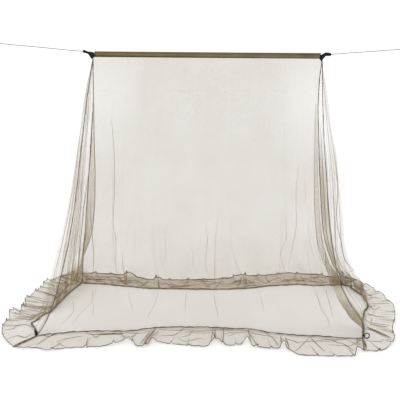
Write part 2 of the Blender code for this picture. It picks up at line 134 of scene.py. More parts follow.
def lay_tube(shape, points, radius, sides=8, slot=0, closed=False, flat=1.0, swell=None,
             bunch=1.0):
    """Add a cord or tape to a mesh: a tube along points, `flat` times as high as wide.

    Its UV map runs along it and round it, in metres."""
    uv = shape.loops.layers.uv.get("UVMap") or shape.loops.layers.uv.new("UVMap")
    gather = shape.verts.layers.float.get("gather")
    rings = []
    count = len(points)
    for index, point in enumerate(points):
        if closed:
            before = points[index - 1]
            after = points[(index + 1) % count]
        else:
            before = points[max(index - 1, 0)]
            after = points[min(index + 1, count - 1)]
        run = (after - before).normalized()
        level = Vector((0, 0, 1)).cross(run)
        if level.length < 0.05:
            level = Vector((0, 1, 0)).cross(run)
        level.normalize()
        upright = run.cross(level)
        size = radius * (swell(index / (count - 1)) if swell else 1)
        ring = []
        for step in range(sides):
            turn = 2 * math.pi * step / sides
            place = point + level * size * math.cos(turn) + upright * size * flat * math.sin(turn)
            ring.append(shape.verts.new(place))
            if gather:
                ring[-1][gather] = bunch
        rings.append(ring)
    travelled = lengths_along(points)
    girth = 2 * math.pi * radius / sides
    for index in range(count if closed else count - 1):
        here = rings[index]
        there = rings[(index + 1) % count]
        from_u = travelled[index]
        to_u = travelled[index + 1] if index + 1 < count else from_u + 0.005
        for step in range(sides):
            after = (step + 1) % sides
            face = shape.faces.new((here[step], here[after], there[after], there[step]))
            face.material_index = slot
            face.smooth = True
            corners = ((from_u, step), (from_u, step + 1), (to_u, step + 1), (to_u, step))
            for loop, (u, place) in zip(face.loops, corners):
                loop[uv].uv = (u, place * girth)
    if not closed:
        for ring in (list(reversed(rings[0])), rings[-1]):
            cap = shape.faces.new(ring)
            cap.material_index = slot


def add_node(tree, kind, links=None, **settings):
    """Add a shader node. An input given another node's output is linked to it."""
    node = tree.nodes.new(kind)
    for name, value in settings.items():
        setattr(node, name, value)
    for socket, value in (links or {}).items():
        if isinstance(value, bpy.types.NodeSocket):
            tree.links.new(value, node.inputs[socket])
        else:
            node.inputs[socket].default_value = value
    return node


def add_math(tree, operation, *values):
    """The result of arithmetic on numbers or on other nodes' outputs."""
    return add_node(tree, "ShaderNodeMath", dict(enumerate(values)),
                    operation=operation).outputs[0]


def add_wave(tree, place, way, form="SINE"):
    """A wave across the cloth. It runs along `way`, whose length sets how close it is."""
    across = add_node(tree, "ShaderNodeVectorMath", {0: place, 1: way}, operation="DOT_PRODUCT")
    return add_math(tree, form, across.outputs["Value"])


def add_clouds(tree, place, scale, detail, roughness=0.5):
    """Soft uneven patches, mostly between 0.3 and 0.7."""
    return add_node(tree, "ShaderNodeTexNoise", {"Vector": place, "Scale": scale,
                    "Detail": detail, "Roughness": roughness}).outputs["Fac"]


def add_range(tree, value, lowest, highest, becomes=(0.0, 1.0), **settings):
    """A value carried over to a new scale, and held at the scale's two ends."""
    return add_node(tree, "ShaderNodeMapRange", {"Value": value, "From Min": lowest,
                    "From Max": highest, "To Min": becomes[0], "To Max": becomes[1]},
                    **settings).outputs[0]


def add_scaled(tree, colour, amount):
    return add_node(tree, "ShaderNodeVectorMath", {0: colour, "Scale": amount},
                    operation="SCALE").outputs[0]


def finish_with(tree, shader, colour, height, strength, distance):
    """Give a finish its worked-out colour and its relief."""
    tree.links.new(colour, shader.inputs["Base Color"])
    bump = add_node(tree, "ShaderNodeBump", {"Height": height, "Strength": strength,
                    "Distance": distance})
    tree.links.new(bump.outputs[0], shader.inputs["Normal"])


def blank_finish(name, colour, roughness, sheen=0.0, specular=0.5):
    finish = bpy.data.materials.new(name)
    finish.use_nodes = True
    shader = finish.node_tree.nodes["Principled BSDF"]
    shader.inputs["Base Color"].default_value = (*colour, 1)
    shader.inputs["Roughness"].default_value = roughness
    shader.inputs["Sheen Weight"].default_value = sheen
    shader.inputs["Specular IOR Level"].default_value = specular
    return finish, finish.node_tree, shader


def braid_finish(name, colour, pitch):
    """Braided cord: strands cross both ways round it, with painted shade in the gaps between them.
    """
    finish, tree, shader = blank_finish(name, colour, 0.9, specular=0.2)
    place = add_node(tree, "ShaderNodeUVMap", uv_map="UVMap").outputs["UV"]
    turn = 2 * math.pi / pitch
    height = add_math(tree, "MAXIMUM", *[add_wave(tree, place, (turn, lean * turn, 0))
                                         for lean in (1, -1)])
    # Painted shade: darker in the gaps between the strands, lighter on their crowns.
    tone = add_range(tree, height, -1.0, 1.0, (0.45, 1.25))
    finish_with(tree, shader, add_scaled(tree, colour, tone), height, 0.6, 0.0004)
    return finish


def cord_course(route):
    """Points along a smooth curve through a route's points, all in the ridge plane."""
    table = [(abs(x), x, z) for x, z in route]
    reach = table[-1][0] - table[0][0]
    points = []
    for step in range(CORD_STEPS + 1):
        x, z = smooth(table, table[0][0] + reach * step / CORD_STEPS)
        points.append(Vector((x, 0, z)))
    return points


for hand, route in CORD_ROUTES.items():
    braid = braid_finish("cord_braid_" + hand, CORD_COLOURS[hand], 0.0024)
    course = cord_course(route)
    shape = bmesh.new()
    lay_tube(shape, course, CORD_RADIUS, sides=10)
    cord = new_mesh("taut_cord_" + hand, shape, braid)
    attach(cord, "root")
    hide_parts("cord_" + hand)

    # The end loop: the cord laid back on itself, with a knot of three turns at its neck.
    along = (course[-1] - course[-2]).normalized()
    across = Vector((-along.z, 0, along.x))
    centre = course[-1] + along * (LOOP_LONG + LOOP_GAP)
    oval = [centre + along * LOOP_LONG * math.cos(turn) + across * LOOP_WIDE * math.sin(turn)
            for turn in (2 * math.pi * step / LOOP_STEPS for step in range(LOOP_STEPS))]
    shape = bmesh.new()
    lay_tube(shape, oval, CORD_RADIUS, sides=10, closed=True)
    neck = centre - along * (LOOP_LONG - KNOT_RADIUS / 2)
    turns = []
    steps = KNOT_TURNS * KNOT_STEPS
    for step in range(steps + 1):
        turn = 2 * math.pi * step / KNOT_STEPS
        turns.append(neck + along * (KNOT_LONG * step / steps - KNOT_LONG / 2)
                     + across * KNOT_RADIUS * math.cos(turn)
                     + Vector((0, KNOT_RADIUS * math.sin(turn), 0)))
    lay_tube(shape, turns, CORD_RADIUS * 0.8)
    loop = new_mesh("tied_loop_" + hand, shape, braid)
    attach(loop, "root")
    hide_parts("cord_loop_" + hand)

# --------------------------------------------------------------------- ridge strip
# A coyote-brown woven strip, folded over lengthwise and sewn along its foot, where it
# holds the tops of the front and back walls. It stands on edge and sags a hair.
RIDGE_HALF = 0.779
STRIP_TALL = 0.038
STRIP_HALF_THICK = 0.0042
STRIP_CLOTH = 0.0011
STRIP_SAG = 0.0006
STRIP_STATIONS = 96
# Its section, up the back face, over the crown and down the front face. Columns: out, in
# half thicknesses, and drop, in heights.
STRIP_SECTION = [
    (0.80, -1.00), (0.86, -0.90), (0.70, -0.80), (0.98, -0.62), (1.00, -0.40), (1.00, -0.20),
    (0.92, -0.09), (0.66, -0.03), (0.25, 0.0), (-0.25, 0.0), (-0.66, -0.03), (-0.92, -0.09),
    (-1.00, -0.20), (-1.04, -0.36), (-1.02, -0.50), (-0.96, -0.60), (-0.98, -0.72),
    (-0.70, -0.80), (-0.86, -0.90), (-0.80, -1.00)]
STRIP_COLOUR = (0.150, 0.119, 0.050)
# Painted shade by height: darker and greyer along the fold and the foot, lighter and
# yellower between, as light falls over a rounded strip. Columns: the share of its height,
# from the foot, and the painted shade there.
STRIP_SHADE_BANDS = [(0.14, (0.62, 0.62, 0.62, 1)), (0.24, (1.18, 1.17, 1.06, 1)),
              (0.52, (1.20, 1.20, 1.10, 1)), (0.62, (0.86, 0.86, 1.05, 1)),
              (0.80, (0.90, 0.90, 1.10, 1))]
STITCH_COLOUR = (0.075, 0.058, 0.034)
STITCHES = 290
STITCH_LEVEL = -0.805       # in heights of the strip
STITCH_RADIUS = 0.00035


def webbing_finish(name, colour, rib, dark_share):
    """Woven webbing: fine ribs across it, a twill slant, uneven dye, and a painted shade by height
    that darkens its fold and foot.
    """
    finish, tree, shader = blank_finish(name, colour, 0.85, sheen=0.05, specular=0.25)
    place = add_node(tree, "ShaderNodeUVMap", uv_map="UVMap").outputs["UV"]
    weave = add_math(tree, "ADD", add_wave(tree, place, (2 * math.pi / rib, 0, 0)),
                     add_wave(tree, place, (math.pi / rib, 2.6 * math.pi / rib, 0)))
    tone = add_range(tree, add_clouds(tree, place, 7.0, 5.0, 0.6), 0.3, 0.7,
                     (1 - dark_share, 1 + dark_share * 0.6))
    grain = add_range(tree, weave, -2.0, 2.0, (0.80, 1.15))
    # Painted shade by height on the strip: darker at the fold and the foot, lighter between.
    spot = add_node(tree, "ShaderNodeTexCoord").outputs["Object"]
    tilt = add_node(tree, "ShaderNodeVectorMath", {0: spot, 1: (0.006, 0, 1)},
                    operation="DOT_PRODUCT")
    height = add_range(tree, tilt.outputs["Value"], -STRIP_TALL, 0.0)
    height_shade = add_node(tree, "ShaderNodeValToRGB", {"Fac": height})
    height_shade.color_ramp.interpolation = "EASE"
    height_shade.color_ramp.elements[0].color = (0.42, 0.44, 0.60, 1)
    height_shade.color_ramp.elements[1].color = (0.62, 0.63, 0.78, 1)
    for place_up, tint in STRIP_SHADE_BANDS:
        height_shade.color_ramp.elements.new(place_up).color = tint
    shade = add_scaled(tree, height_shade.outputs["Color"], add_math(tree, "MULTIPLY", tone, grain))
    dyed = add_node(tree, "ShaderNodeVectorMath", {0: shade, 1: colour}, operation="MULTIPLY")
    finish_with(tree, shader, dyed.outputs[0], weave, 0.5, 0.0003)
    return finish


def cloth_grid(shape, rows, across, down, bunches=None):
    """Add a sheet through rows of points. Its UV map is its flat cut, in metres:
    `across` gives each column's place and `down` each row's. `bunches` says how closely
    the cloth is gathered at each point, as times its open weave."""
    uv = shape.loops.layers.uv.get("UVMap") or shape.loops.layers.uv.new("UVMap")
    gather = shape.verts.layers.float.new("gather") if bunches else None
    grid = [[shape.verts.new(point) for point in row] for row in rows]
    if bunches:
        for line, bunch_line in zip(grid, bunches):
            for vertex, bunch in zip(line, bunch_line):
                vertex[gather] = bunch
    for level in range(len(rows) - 1):
        for step in range(len(rows[0]) - 1):
            corners = ((level, step), (level + 1, step), (level + 1, step + 1), (level, step + 1))
            face = shape.faces.new([grid[a][b] for a, b in corners])
            for loop, (a, b) in zip(face.loops, corners):
                loop[uv].uv = (across[b], -down[a])


strip_webbing = webbing_finish("ridge_webbing", STRIP_COLOUR, 0.0011, 0.22)
strip_thread = braid_finish("strip_thread", STITCH_COLOUR, 0.0012)
along_strip = [RIDGE_HALF * (2 * step / STRIP_STATIONS - 1) for step in range(STRIP_STATIONS + 1)]
rows = []
for out, drop in STRIP_SECTION:
    row = []
    for x in along_strip:
        # Its faces wander a little, most near the fold, and its middle hangs lowest.
        lean = 0.0009 * math.sin(9 * x + 2 * drop) + 0.0005 * math.sin(31 * x + 3)
        row.append(Vector((x, out * STRIP_HALF_THICK + lean * (1 + drop),
                           drop * STRIP_TALL - STRIP_SAG * (1 - (x / RIDGE_HALF) ** 2))))
    rows.append(row)
down = lengths_along([Vector((0, out * STRIP_HALF_THICK, drop * STRIP_TALL))
                      for out, drop in STRIP_SECTION])
shape = bmesh.new()
cloth_grid(shape, rows, along_strip, down)
strip = new_mesh("folded_strip", shape, strip_webbing, strip_thread)
thick = strip.modifiers.new("Solidify", "SOLIDIFY")
thick.thickness = STRIP_CLOTH
thick.offset = -1
bpy.context.view_layer.objects.active = strip
bpy.ops.object.modifier_apply(modifier="Solidify")
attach(strip, "root")
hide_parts("ridge_strip")

# One row of lockstitches, front and back, just over the strip's foot.
shape = bmesh.new()
for face_side in (-1, 1):
    for stitch in range(STITCHES):
        x = RIDGE_HALF * (2 * (stitch + 0.5) / STITCHES - 1)
        y = (face_side * (STRIP_HALF_THICK * 0.74 + 0.0003)
             + 0.0009 * math.sin(9 * x - 1.6) * 0.2)
        z = STITCH_LEVEL * STRIP_TALL
        # Its ends dip into the cloth.
        bow = ((-0.0019, 0.96), (-0.0010, 1), (0.0010, 1), (0.0019, 0.96))
        lay_tube(shape, [Vector((x + to_x, y * dip, z)) for to_x, dip in bow],
                 STITCH_RADIUS, sides=4)
stitching = new_mesh("strip_stitching", shape, strip_thread)
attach(stitching, "root")

# ------------------------------------------------------------------------- end tabs
# A black webbing tab closes each end of the ridge strip. It is wide where it is sewn on,
# narrows outwards, and is drawn into the knot that the suspension cord leaves from.
# Columns: x, z of the middle, half height, half thickness.
TABS = {
    "left": [(-0.8570, -0.0010, 0.0034, 0.0032), (-0.8540, -0.0006, 0.0085, 0.0060),
             (-0.8480, -0.0011, 0.0092, 0.0066), (-0.8400, -0.0036, 0.0088, 0.0062),
             (-0.8296, -0.0068, 0.0086, 0.0056), (-0.8212, -0.0107, 0.0096, 0.0056),
             (-0.8136, -0.0164, 0.0140, 0.0058), (-0.8045, -0.0239, 0.0206, 0.0060),
             (-0.7960, -0.0275, 0.0236, 0.0060), (-0.7890, -0.0271, 0.0214, 0.0060),
             (-0.7808, -0.0257, 0.0150, 0.0058), (-0.7715, -0.0260, 0.0060, 0.0054)],
    "right": [(0.8525, -0.0093, 0.0030, 0.0030), (0.8480, -0.0093, 0.0060, 0.0056),
              (0.8420, -0.0088, 0.0092, 0.0064), (0.8325, -0.0082, 0.0116, 0.0066),
              (0.8185, -0.0074, 0.0120, 0.0064), (0.8080, -0.0114, 0.0142, 0.0062),
              (0.7975, -0.0207, 0.0178, 0.0060), (0.7890, -0.0300, 0.0224, 0.0060),
              (0.7850, -0.0318, 0.0226, 0.0060), (0.7790, -0.0312, 0.0184, 0.0058),
              (0.7715, -0.0296, 0.0090, 0.0054)],
}
TAB_COLOUR = (0.0085, 0.0080, 0.0078)
TAB_STEPS = 34
WRAP_TURNS = 4
WRAP_STEPS = 16             # in a turn
WRAP_RADIUS = 0.0011
WRAP_LONG = 0.0085          # how far the turns reach along the neck
WRAP_PROUD = 0.0008         # how far their middle stands off the neck


def object_webbing_finish(name, colour, rib):
    """Plain webbing read from the piece's own place: ribs across it, a fuzzy worn face."""
    finish, tree, shader = blank_finish(name, colour, 0.85, specular=0.22)
    place = add_node(tree, "ShaderNodeTexCoord").outputs["Object"]
    weave = add_math(
        tree, "ADD", add_wave(tree, place, (2 * math.pi / rib, 0, 0.7 * math.pi / rib)),
        add_wave(tree, place, (0.6 * math.pi / rib, 0, 2 * math.pi / rib)))
    tone = add_range(tree, add_clouds(tree, place, 140.0, 4.0, 0.65), 0.3, 0.75, (0.7, 2.0))
    finish_with(tree, shader, add_scaled(tree, colour, tone), weave, 0.6, 0.0003)
    return finish


tab_webbing = object_webbing_finish("tab_webbing", TAB_COLOUR, 0.0014)
for hand, rows in TABS.items():
    # The band's section starts as a flat square whose corners are rounded off.
    bpy.ops.object.select_all(action="DESELECT")
    bpy.ops.mesh.primitive_plane_add(size=2)
    tab = bpy.context.object
    tab.name = tab.data.name = "webbing_tab_" + hand
    bpy.ops.object.mode_set(mode="EDIT")
    bpy.ops.mesh.bevel(offset=0.55, segments=4, affect="VERTICES")
    bpy.ops.transform.rotate(value=math.pi / 2, orient_axis="Y", center_override=(0, 0, 0))
    x, z, tall, thick = rows[0]
    bpy.ops.transform.resize(value=(1, thick, tall), center_override=(0, 0, 0))
    bpy.ops.transform.translate(value=(x, 0, z))
    reach = rows[-1][0] - rows[0][0]
    table = [((row[0] - rows[0][0]) / reach, *row) for row in rows]
    for step in range(1, TAB_STEPS + 1):
        to_x, to_z, to_tall, to_thick = smooth(table, step / TAB_STEPS)
        # Pulled folds run down the band and die away where it is sewn flat.
        pinch = 1 + 0.07 * math.sin(step * 1.9) * (1 - step / TAB_STEPS)
        bpy.ops.mesh.extrude_region_move(
            TRANSFORM_OT_translate={"value": (to_x - x, 0, to_z - z)})
        bpy.ops.transform.resize(value=(1, to_thick * pinch / thick, to_tall / tall),
                                 center_override=(to_x, 0, to_z))
        x, z, tall, thick = to_x, to_z, to_tall, to_thick * pinch
    bpy.ops.mesh.select_all(action="SELECT")
    bpy.ops.mesh.normals_make_consistent(inside=False)
    bpy.ops.object.mode_set(mode="OBJECT")
    bpy.ops.object.shade_smooth()
    tab.data.materials.append(tab_webbing)
    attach(tab, "root")
    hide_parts("end_tab_" + hand)

    # The cord's own turns round the tab's neck, under the knot.
    neck_x, neck_z, neck_tall, neck_thick = rows[2]
    turns = []
    steps = WRAP_TURNS * WRAP_STEPS
    for step in range(steps + 1):
        turn = 2 * math.pi * step / WRAP_STEPS
        slide = (step / steps - 0.5) * WRAP_LONG
        turns.append(Vector((neck_x + slide, (neck_thick + WRAP_PROUD) * math.cos(turn),
                             neck_z + (neck_tall + WRAP_PROUD) * math.sin(turn))))
    shape = bmesh.new()
    lay_tube(shape, turns, WRAP_RADIUS)
    # Painted shade: the turns under the knot get the cord's colour at half strength.
    shaded_wrap_colour = tuple(0.5 * part for part in CORD_COLOURS[hand])
    wrap = new_mesh("neck_wrap_" + hand, shape,
                    braid_finish("shaded_wrap_braid_" + hand, shaded_wrap_colour, 0.0020))
    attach(wrap, "root")

# -------------------------------------------------------------------- netting walls
# Four walls of sheer knitted netting. The front and back are sewn into the strip's fold,
# the gables are gathered to the end tabs, and all four fall slack to hems on the floor.
FLOOR = -1.853
HEM_Z = FLOOR + 0.0024
APEX = Vector((0.790, 0.0046, -0.0506))
CORNERS = {"front_left": (-1.114, -0.547), "front_right": (1.036, -0.538),
           "back_right": (1.137, 0.545), "back_left": (-1.013, 0.540)}
SIDE_ENDS = {"front": ("front_left", "front_right"), "right": ("front_right", "back_right"),
             "back": ("back_right", "back_left"), "left": ("back_left", "front_left")}
OUTWARD = {"front": Vector((0, -1, 0)), "right": Vector((1, 0, 0)),
           "back": Vector((0, 1, 0)), "left": Vector((-1, 0, 0))}
# How a seam hangs slack in its upright plane. Columns: drop (the share of the height,
# from the top) and reach (the share of the way out).
SEAM_SAG = {
    "front_left": [(0, 0), (0.15, 0.11), (0.32, 0.22), (0.55, 0.36), (0.65, 0.44),
                   (0.75, 0.54), (0.87, 0.69), (0.93, 0.79), (0.97, 0.88), (1, 1)],
    "front_right": [(0, 0), (0.24, 0.08), (0.46, 0.20), (0.63, 0.31), (0.73, 0.40),
                    (0.83, 0.54), (0.89, 0.73), (0.95, 0.99), (1, 1)],
    "back_left": [(0, 0), (0.15, 0.04), (0.30, 0.20), (0.50, 0.44), (0.70, 0.69),
                  (0.85, 0.88), (0.95, 0.98), (1, 1)],
    "back_right": [(0, 0), (0.07, -0.045), (0.14, -0.055), (0.35, 0.03), (0.52, 0.13),
                   (0.62, 0.20), (0.72, 0.31), (0.80, 0.47), (0.88, 0.68), (0.95, 0.93), (1, 1)],
}


# The longer tables are written in whole thousandths, of a metre or of a side's way along
# or down. These two turn them into metres and shares.
def thousandths(table):
    return {side: [tuple(part / 1000 for part in row) for row in rows]
            for side, rows in table.items()}


def tuck_table(table):
    """Sharp folds. Each row has half its width, how closely it is bunched, and then its
    course: how far along and how far down, place after place."""
    tucks = {}
    for side, rows in table.items():
        tucks[side] = []
        for half, bunch, *course in rows:
            shares = [part / 1000 for part in course]
            tucks[side].append((half / 1000, bunch, *zip(shares[::2], shares[1::2])))
    return tucks


# The hems between the corners. Columns: along, x, y, and how far the wall's fold stands out
# of its plane over the hem.
HEMS = thousandths({
    "front": [
        (35, -1050, -520, 4), (62, -990, -510, -3), (95, -915, -482, 10), (145, -810, -467, -8),
        (210, -665, -456, 6), (262, -550, -454, -5), (275, -522, -452, -4), (312, -440, -430, 7),
        (345, -372, -404, 3), (360, -340, -394, -4), (380, -300, -387, -4), (430, -190, -378, 8),
        (515, -10, -380, -6), (545, 55, -386, 3), (585, 140, -392, 6), (620, 220, -397, -2),
        (645, 275, -402, -6), (660, 305, -410, -6), (735, 465, -474, 6), (750, 495, -482, 4),
        (765, 530, -489, -3), (795, 595, -500, -6), (875, 765, -516, 10), (945, 915, -540, -12),
        (970, 970, -545, 6),
    ],
    "right": [
        (60, 1060, -470, 6), (115, 1078, -405, -5), (175, 1094, -340, 8), (235, 1106, -270, -6),
        (295, 1126, -200, 10), (355, 1148, -130, -6), (415, 1172, -60, 20), (475, 1214, 20, -10),
        (545, 1234, 100, 26), (615, 1240, 180, -12), (690, 1240, 270, 34), (765, 1226, 350, -12),
        (840, 1206, 420, 26), (920, 1192, 500, -8),
    ],
    "back": [
        (60, 1010, 526, 6), (110, 900, 520, -8), (170, 770, 540, 12), (230, 640, 520, -8),
        (290, 510, 490, 4), (350, 380, 440, 10), (385, 305, 424, -4), (420, 230, 414, -8),
        (490, 75, 402, 6), (560, -70, 400, -6), (630, -220, 405, 4), (690, -345, 408, 6),
        (710, -385, 410, -4), (740, -450, 414, -6), (790, -560, 440, 8), (825, -635, 460, 2),
        (855, -695, 474, -8), (900, -790, 496, 12), (950, -900, 516, -8),
    ],
    "left": [
        (70, -1036, 460, 14), (140, -1052, 390, -10), (210, -1066, 320, 26),
        (280, -1078, 240, -14), (350, -1088, 160, 32), (415, -1098, 85, -12), (480, -1106, 10, 34),
        (540, -1112, -60, -10), (600, -1126, -125, 30), (660, -1164, -190, -6),
        (725, -1172, -260, 26), (800, -1200, -330, -8), (870, -1168, -400, 10),
        (935, -1128, -480, 0),
    ],
})
# How far the gables belly out at their middle. Columns: drop and distance.
BELLIES = {"right": [(0, 0), (0.16, 0.034), (0.30, 0.050), (0.42, 0.056), (0.62, 0.034),
                     (0.80, -0.012), (0.90, -0.018), (1, 0)],
           "left": [(0, 0), (0.14, 0.026), (0.28, 0.020), (0.50, 0.010), (0.75, 0.002),
                    (0.90, -0.010), (1, 0)]}
# The main creases. Columns: along where it starts and where it ends, half
# width, how far it stands out (inwards if negative), how far it lies over to its right,
# and the drops at which it starts, is fullest and ends.
CREASES = thousandths({
    "front": [
        (72, 78, 8, 7, 6, 740, 880, 990), (112, 140, 8, -7, 6, 660, 860, 970),
        (232, 262, 7, 6, 0, 600, 840, 960), (358, 318, 7, 6, -4, 660, 880, 980),
        (458, 442, 7, 5, 0, 620, 840, 950), (568, 544, 7, -5, 4, 580, 880, 980),
        (722, 700, 7, 6, 0, 600, 860, 970), (906, 893, 8, 9, 8, 560, 900, 990),
        (962, 930, 7, -8, -6, 600, 900, 990),
    ],
    "right": [
        (110, 78, 48, -92, 0, 660, 935, 997), (200, 215, 14, 14, 8, 400, 700, 900),
        (330, 345, 12, -14, 0, 300, 660, 900), (460, 470, 12, 16, 10, 340, 900, 1000),
        (590, 600, 14, -18, 0, 300, 860, 1000), (715, 720, 12, 18, -12, 360, 900, 1000),
        (850, 850, 14, -22, 0, 420, 880, 1000),
    ],
    "back": [
        (8, 8, 4, -4, 86, 755, 980, 1000), (140, 200, 10, -6, 0, 550, 800, 930),
        (376, 372, 10, 20, 10, 860, 970, 1000), (700, 704, 8, 18, -8, 880, 980, 1000),
        (840, 826, 5, -12, 10, 780, 950, 1000), (908, 860, 6, -6, 4, 180, 600, 970),
    ],
    "left": [
        (60, 60, 36, -86, 0, 0, 700, 980), (240, 235, 14, 18, 10, 300, 800, 970),
        (370, 360, 12, -16, 0, 320, 860, 1000), (490, 480, 14, 18, -10, 300, 880, 1000),
        (610, 600, 12, -16, 0, 340, 860, 1000), (735, 725, 12, 18, 12, 400, 900, 1000),
        (870, 860, 14, -20, 0, 550, 920, 1000),
    ],
})
# How closely the netting is gathered: its own share over the whole wall, what a crease
# adds for each metre that it stands out, and places where it is bunched, or spread
# thinner if negative. Columns: along, drop, reach along, reach down, amount. Closer
# gathering also paints the threads darker, as painted shade.
WALL_BUNCH = {"front": 1.0, "right": 0.30, "back": 1.0, "left": 0.50}
CREASE_BUNCH = {"front": 6, "right": 3, "back": 26, "left": 2}
SEAM_PUCKER = 0.9           # what the sewing adds along the seams
GATHERS = {
    "front": [(0.00, 0.15, 0.30, 0.30, -0.40), (1.00, 0.15, 0.30, 0.30, -0.50),
              (0.50, 1.05, 0.90, 0.60, 0.18)],
    "right": [(0.50, 0.26, 0.70, 0.34, -0.22), (1.00, 0.56, 0.20, 0.36, 2.8),
              (0.98, 0.84, 0.16, 0.16, 2.0), (1.00, 1.00, 0.16, 0.12, 3.2),
              (0.68, 0.97, 0.32, 0.07, 1.7), (0.08, 0.95, 0.11, 0.09, 2.0)],
    "back": [(0.00, 0.15, 0.30, 0.30, -0.30), (1.00, 0.15, 0.30, 0.30, -0.30),
             (0.00, 1.00, 0.05, 0.10, 2.4), (1.00, 1.00, 0.05, 0.10, 1.6)],
    "left": [(0.60, 0.14, 0.70, 0.30, -0.38), (0.35, 0.97, 0.42, 0.12, 0.9),
             (0.12, 0.930, 0.20, 0.08, 2.0), (0.50, 1.00, 0.14, 0.04, 1.2),
             (0.02, 0.88, 0.10, 0.20, 1.9), (0.97, 0.96, 0.12, 0.07, 1.0),
             (0.01, 0.70, 0.05, 0.30, 0.8), (0.13, 0.70, 0.05, 0.30, 1.0)],
}
# Sharp lines where the walls' folds turn, listed as tuck_table reads them.
WALL_TUCKS = tuck_table({
    "front": [
        (1.6, 1.6, 120, 860, 128, 890, 122, 920), (1.6, 2.4, 66, 900, 76, 935, 58, 975),
        (1.5, 1.4, 118, 920, 96, 955, 90, 980), (1.2, 1.4, 126, 894, 136, 925, 146, 956),
        (1.1, 1.4, 244, 869, 254, 906, 266, 931),
        (1.1, 1.4, 352, 865, 342, 906, 322, 944, 316, 969),
        (1.2, 1.6, 453, 872, 440, 912, 438, 950),
        (1.2, 1.7, 570, 570, 556, 681, 554, 769, 550, 860), (1.3, 2, 547, 872, 542, 919, 550, 963),
        (1.1, 1.5, 706, 885, 698, 931), (1.5, 2.6, 910, 860, 892, 912, 898, 969),
        (1.4, 2.2, 946, 850, 930, 900, 914, 935),
    ],
    "right": [
        (1.8, 1.4, 240, 100, 230, 350, 250, 660, 235, 970),
        (2.4, 5, 560, 320, 587, 540, 620, 660, 655, 740, 650, 810, 720, 870, 800, 950),
        (1.8, 1.4, 650, 140, 660, 420, 650, 740, 670, 980),
        (2.2, 4.2, 860, 300, 890, 550, 900, 740, 960, 950),
        (2.2, 4, 930, 240, 945, 500, 960, 800, 985, 970),
    ],
    "back": [
        (21, 0.6, 10, 160, 17, 500, 19, 680, 26, 780, 36, 880),
        (1.6, 3, 18, 300, 28, 550, 30, 680, 37, 780, 46, 870),
        (2, 4.6, 7.5, 680, 15, 790, 27, 885), (2, 4.6, 8, 770, 8, 860, 8, 970),
        (1, 1.2, 64, 460, 64, 570), (1, 1.2, 58, 640, 61, 720, 69, 870),
        (1.4, 2.2, 86, 400, 102, 506, 108, 656, 130, 750, 190, 920),
        (1.3, 1.8, 147, 610, 152, 719, 186, 800, 230, 935),
        (1.3, 1.6, 484, 650, 476, 731, 496, 844, 507, 925), (1.2, 1.4, 543, 790, 552, 890),
        (1.1, 1.3, 632, 645, 654, 738, 654, 812, 674, 881, 669, 945),
        (1.2, 1.6, 818, 885, 798, 950), (1.2, 1.4, 827, 800, 843, 915), (1, 1, 824, 710, 800, 770),
        (1.8, 2.6, 916, 220, 894, 362, 882, 525, 878, 681, 864, 781, 866, 935),
        (2.2, 4, 985, 600, 974, 700, 962, 800, 956, 880, 963, 970),
    ],
    "left": [
        (2.6, 5, 60, 120, 60, 400, 60, 700, 50, 880),
        (1.8, 5.4, 90, 640, 85, 760, 100, 880, 80, 960),
        (1.8, 5.4, 165, 660, 160, 780, 140, 900, 150, 970), (1.6, 5, 230, 700, 220, 820, 235, 950),
        (1.6, 5, 20, 660, 30, 800, 22, 940), (2.6, 6.4, 450, 910, 400, 935, 330, 950, 270, 950),
        (6, 5.6, 130, 920, 170, 945, 200, 965), (2.4, 6.4, 460, 960, 380, 975, 290, 985, 220, 975),
        (2.2, 8, 640, 870, 583, 881, 507, 906, 307, 944, 180, 956, 57, 969),
        (2.4, 6.6, 513, 869, 310, 894, 160, 915, 37, 931), (2.2, 7.4, 397, 944, 200, 969, 73, 981),
        (2, 7.4, 683, 881, 580, 931, 573, 950, 560, 972),
        (2.4, 4.6, 130, 200, 120, 450, 130, 720, 110, 970),
        (2.2, 4, 190, 440, 180, 620, 190, 800, 200, 970),
        (1.6, 1.6, 380, 100, 370, 420, 390, 740, 370, 980),
        (1.8, 1.8, 620, 300, 630, 500, 620, 720, 640, 970),
        (1.6, 1.4, 800, 120, 790, 450, 810, 760, 800, 970),
    ],
})
# Crumples, where the netting is crushed by its own gathers. Columns: along, drop, reach
# along, reach down, and how many small wandering folds there are.
WALL_CRUMPLES = {
    "front": [],
    "right": [(0.93, 0.960, 0.14, 0.06, 20), (0.62, 0.965, 0.15, 0.05, 8),
              (0.78, 0.970, 0.15, 0.05, 8)],
    "back": [(0.02, 0.97, 0.02, 0.03, 8), (0.985, 0.97, 0.015, 0.03, 8)],
    "left": [(0.10, 0.955, 0.14, 0.05, 14), (0.28, 0.960, 0.18, 0.05, 10),
             (0.44, 0.965, 0.18, 0.05, 9), (0.60, 0.975, 0.14, 0.04, 4)],
}
WALL_CRUMPLE_HALF = 0.0018
# Places in a crease's section, from foot to foot, as shares of its half width.
CREASE_STEPS = (-1, -0.72, -0.48, -0.28, -0.12, 0, 0.12, 0.28, 0.48, 0.72, 1)
NET_ROWS = 64
NET_STEP = 0.013
NARROWEST = 0.12            # a wall's width, for its creases, is never less
HEM_EASE = 1.3              # how late, on the way down, a wall takes up its hem's bends
FOLD_TURN = 0.54            # the share of a half turn over which the folds swell
FOLD_END = 0.93             # the drop from which they flatten to the hem
MESH_PITCH = 0.0016
TUCK_TALL = 0.0024          # half the most that a tuck stands up
# How closely a crumple is bunched; this also paints its folds darker, as painted shade.
CRUMPLE_BUNCH = 7.6
THREAD_COLOUR = (0.290, 0.218, 0.110)
# The painted shade colour that the threads are mixed towards where the netting is gathered.
GATHER_SHADE_COLOUR = (0.168, 0.110, 0.018)


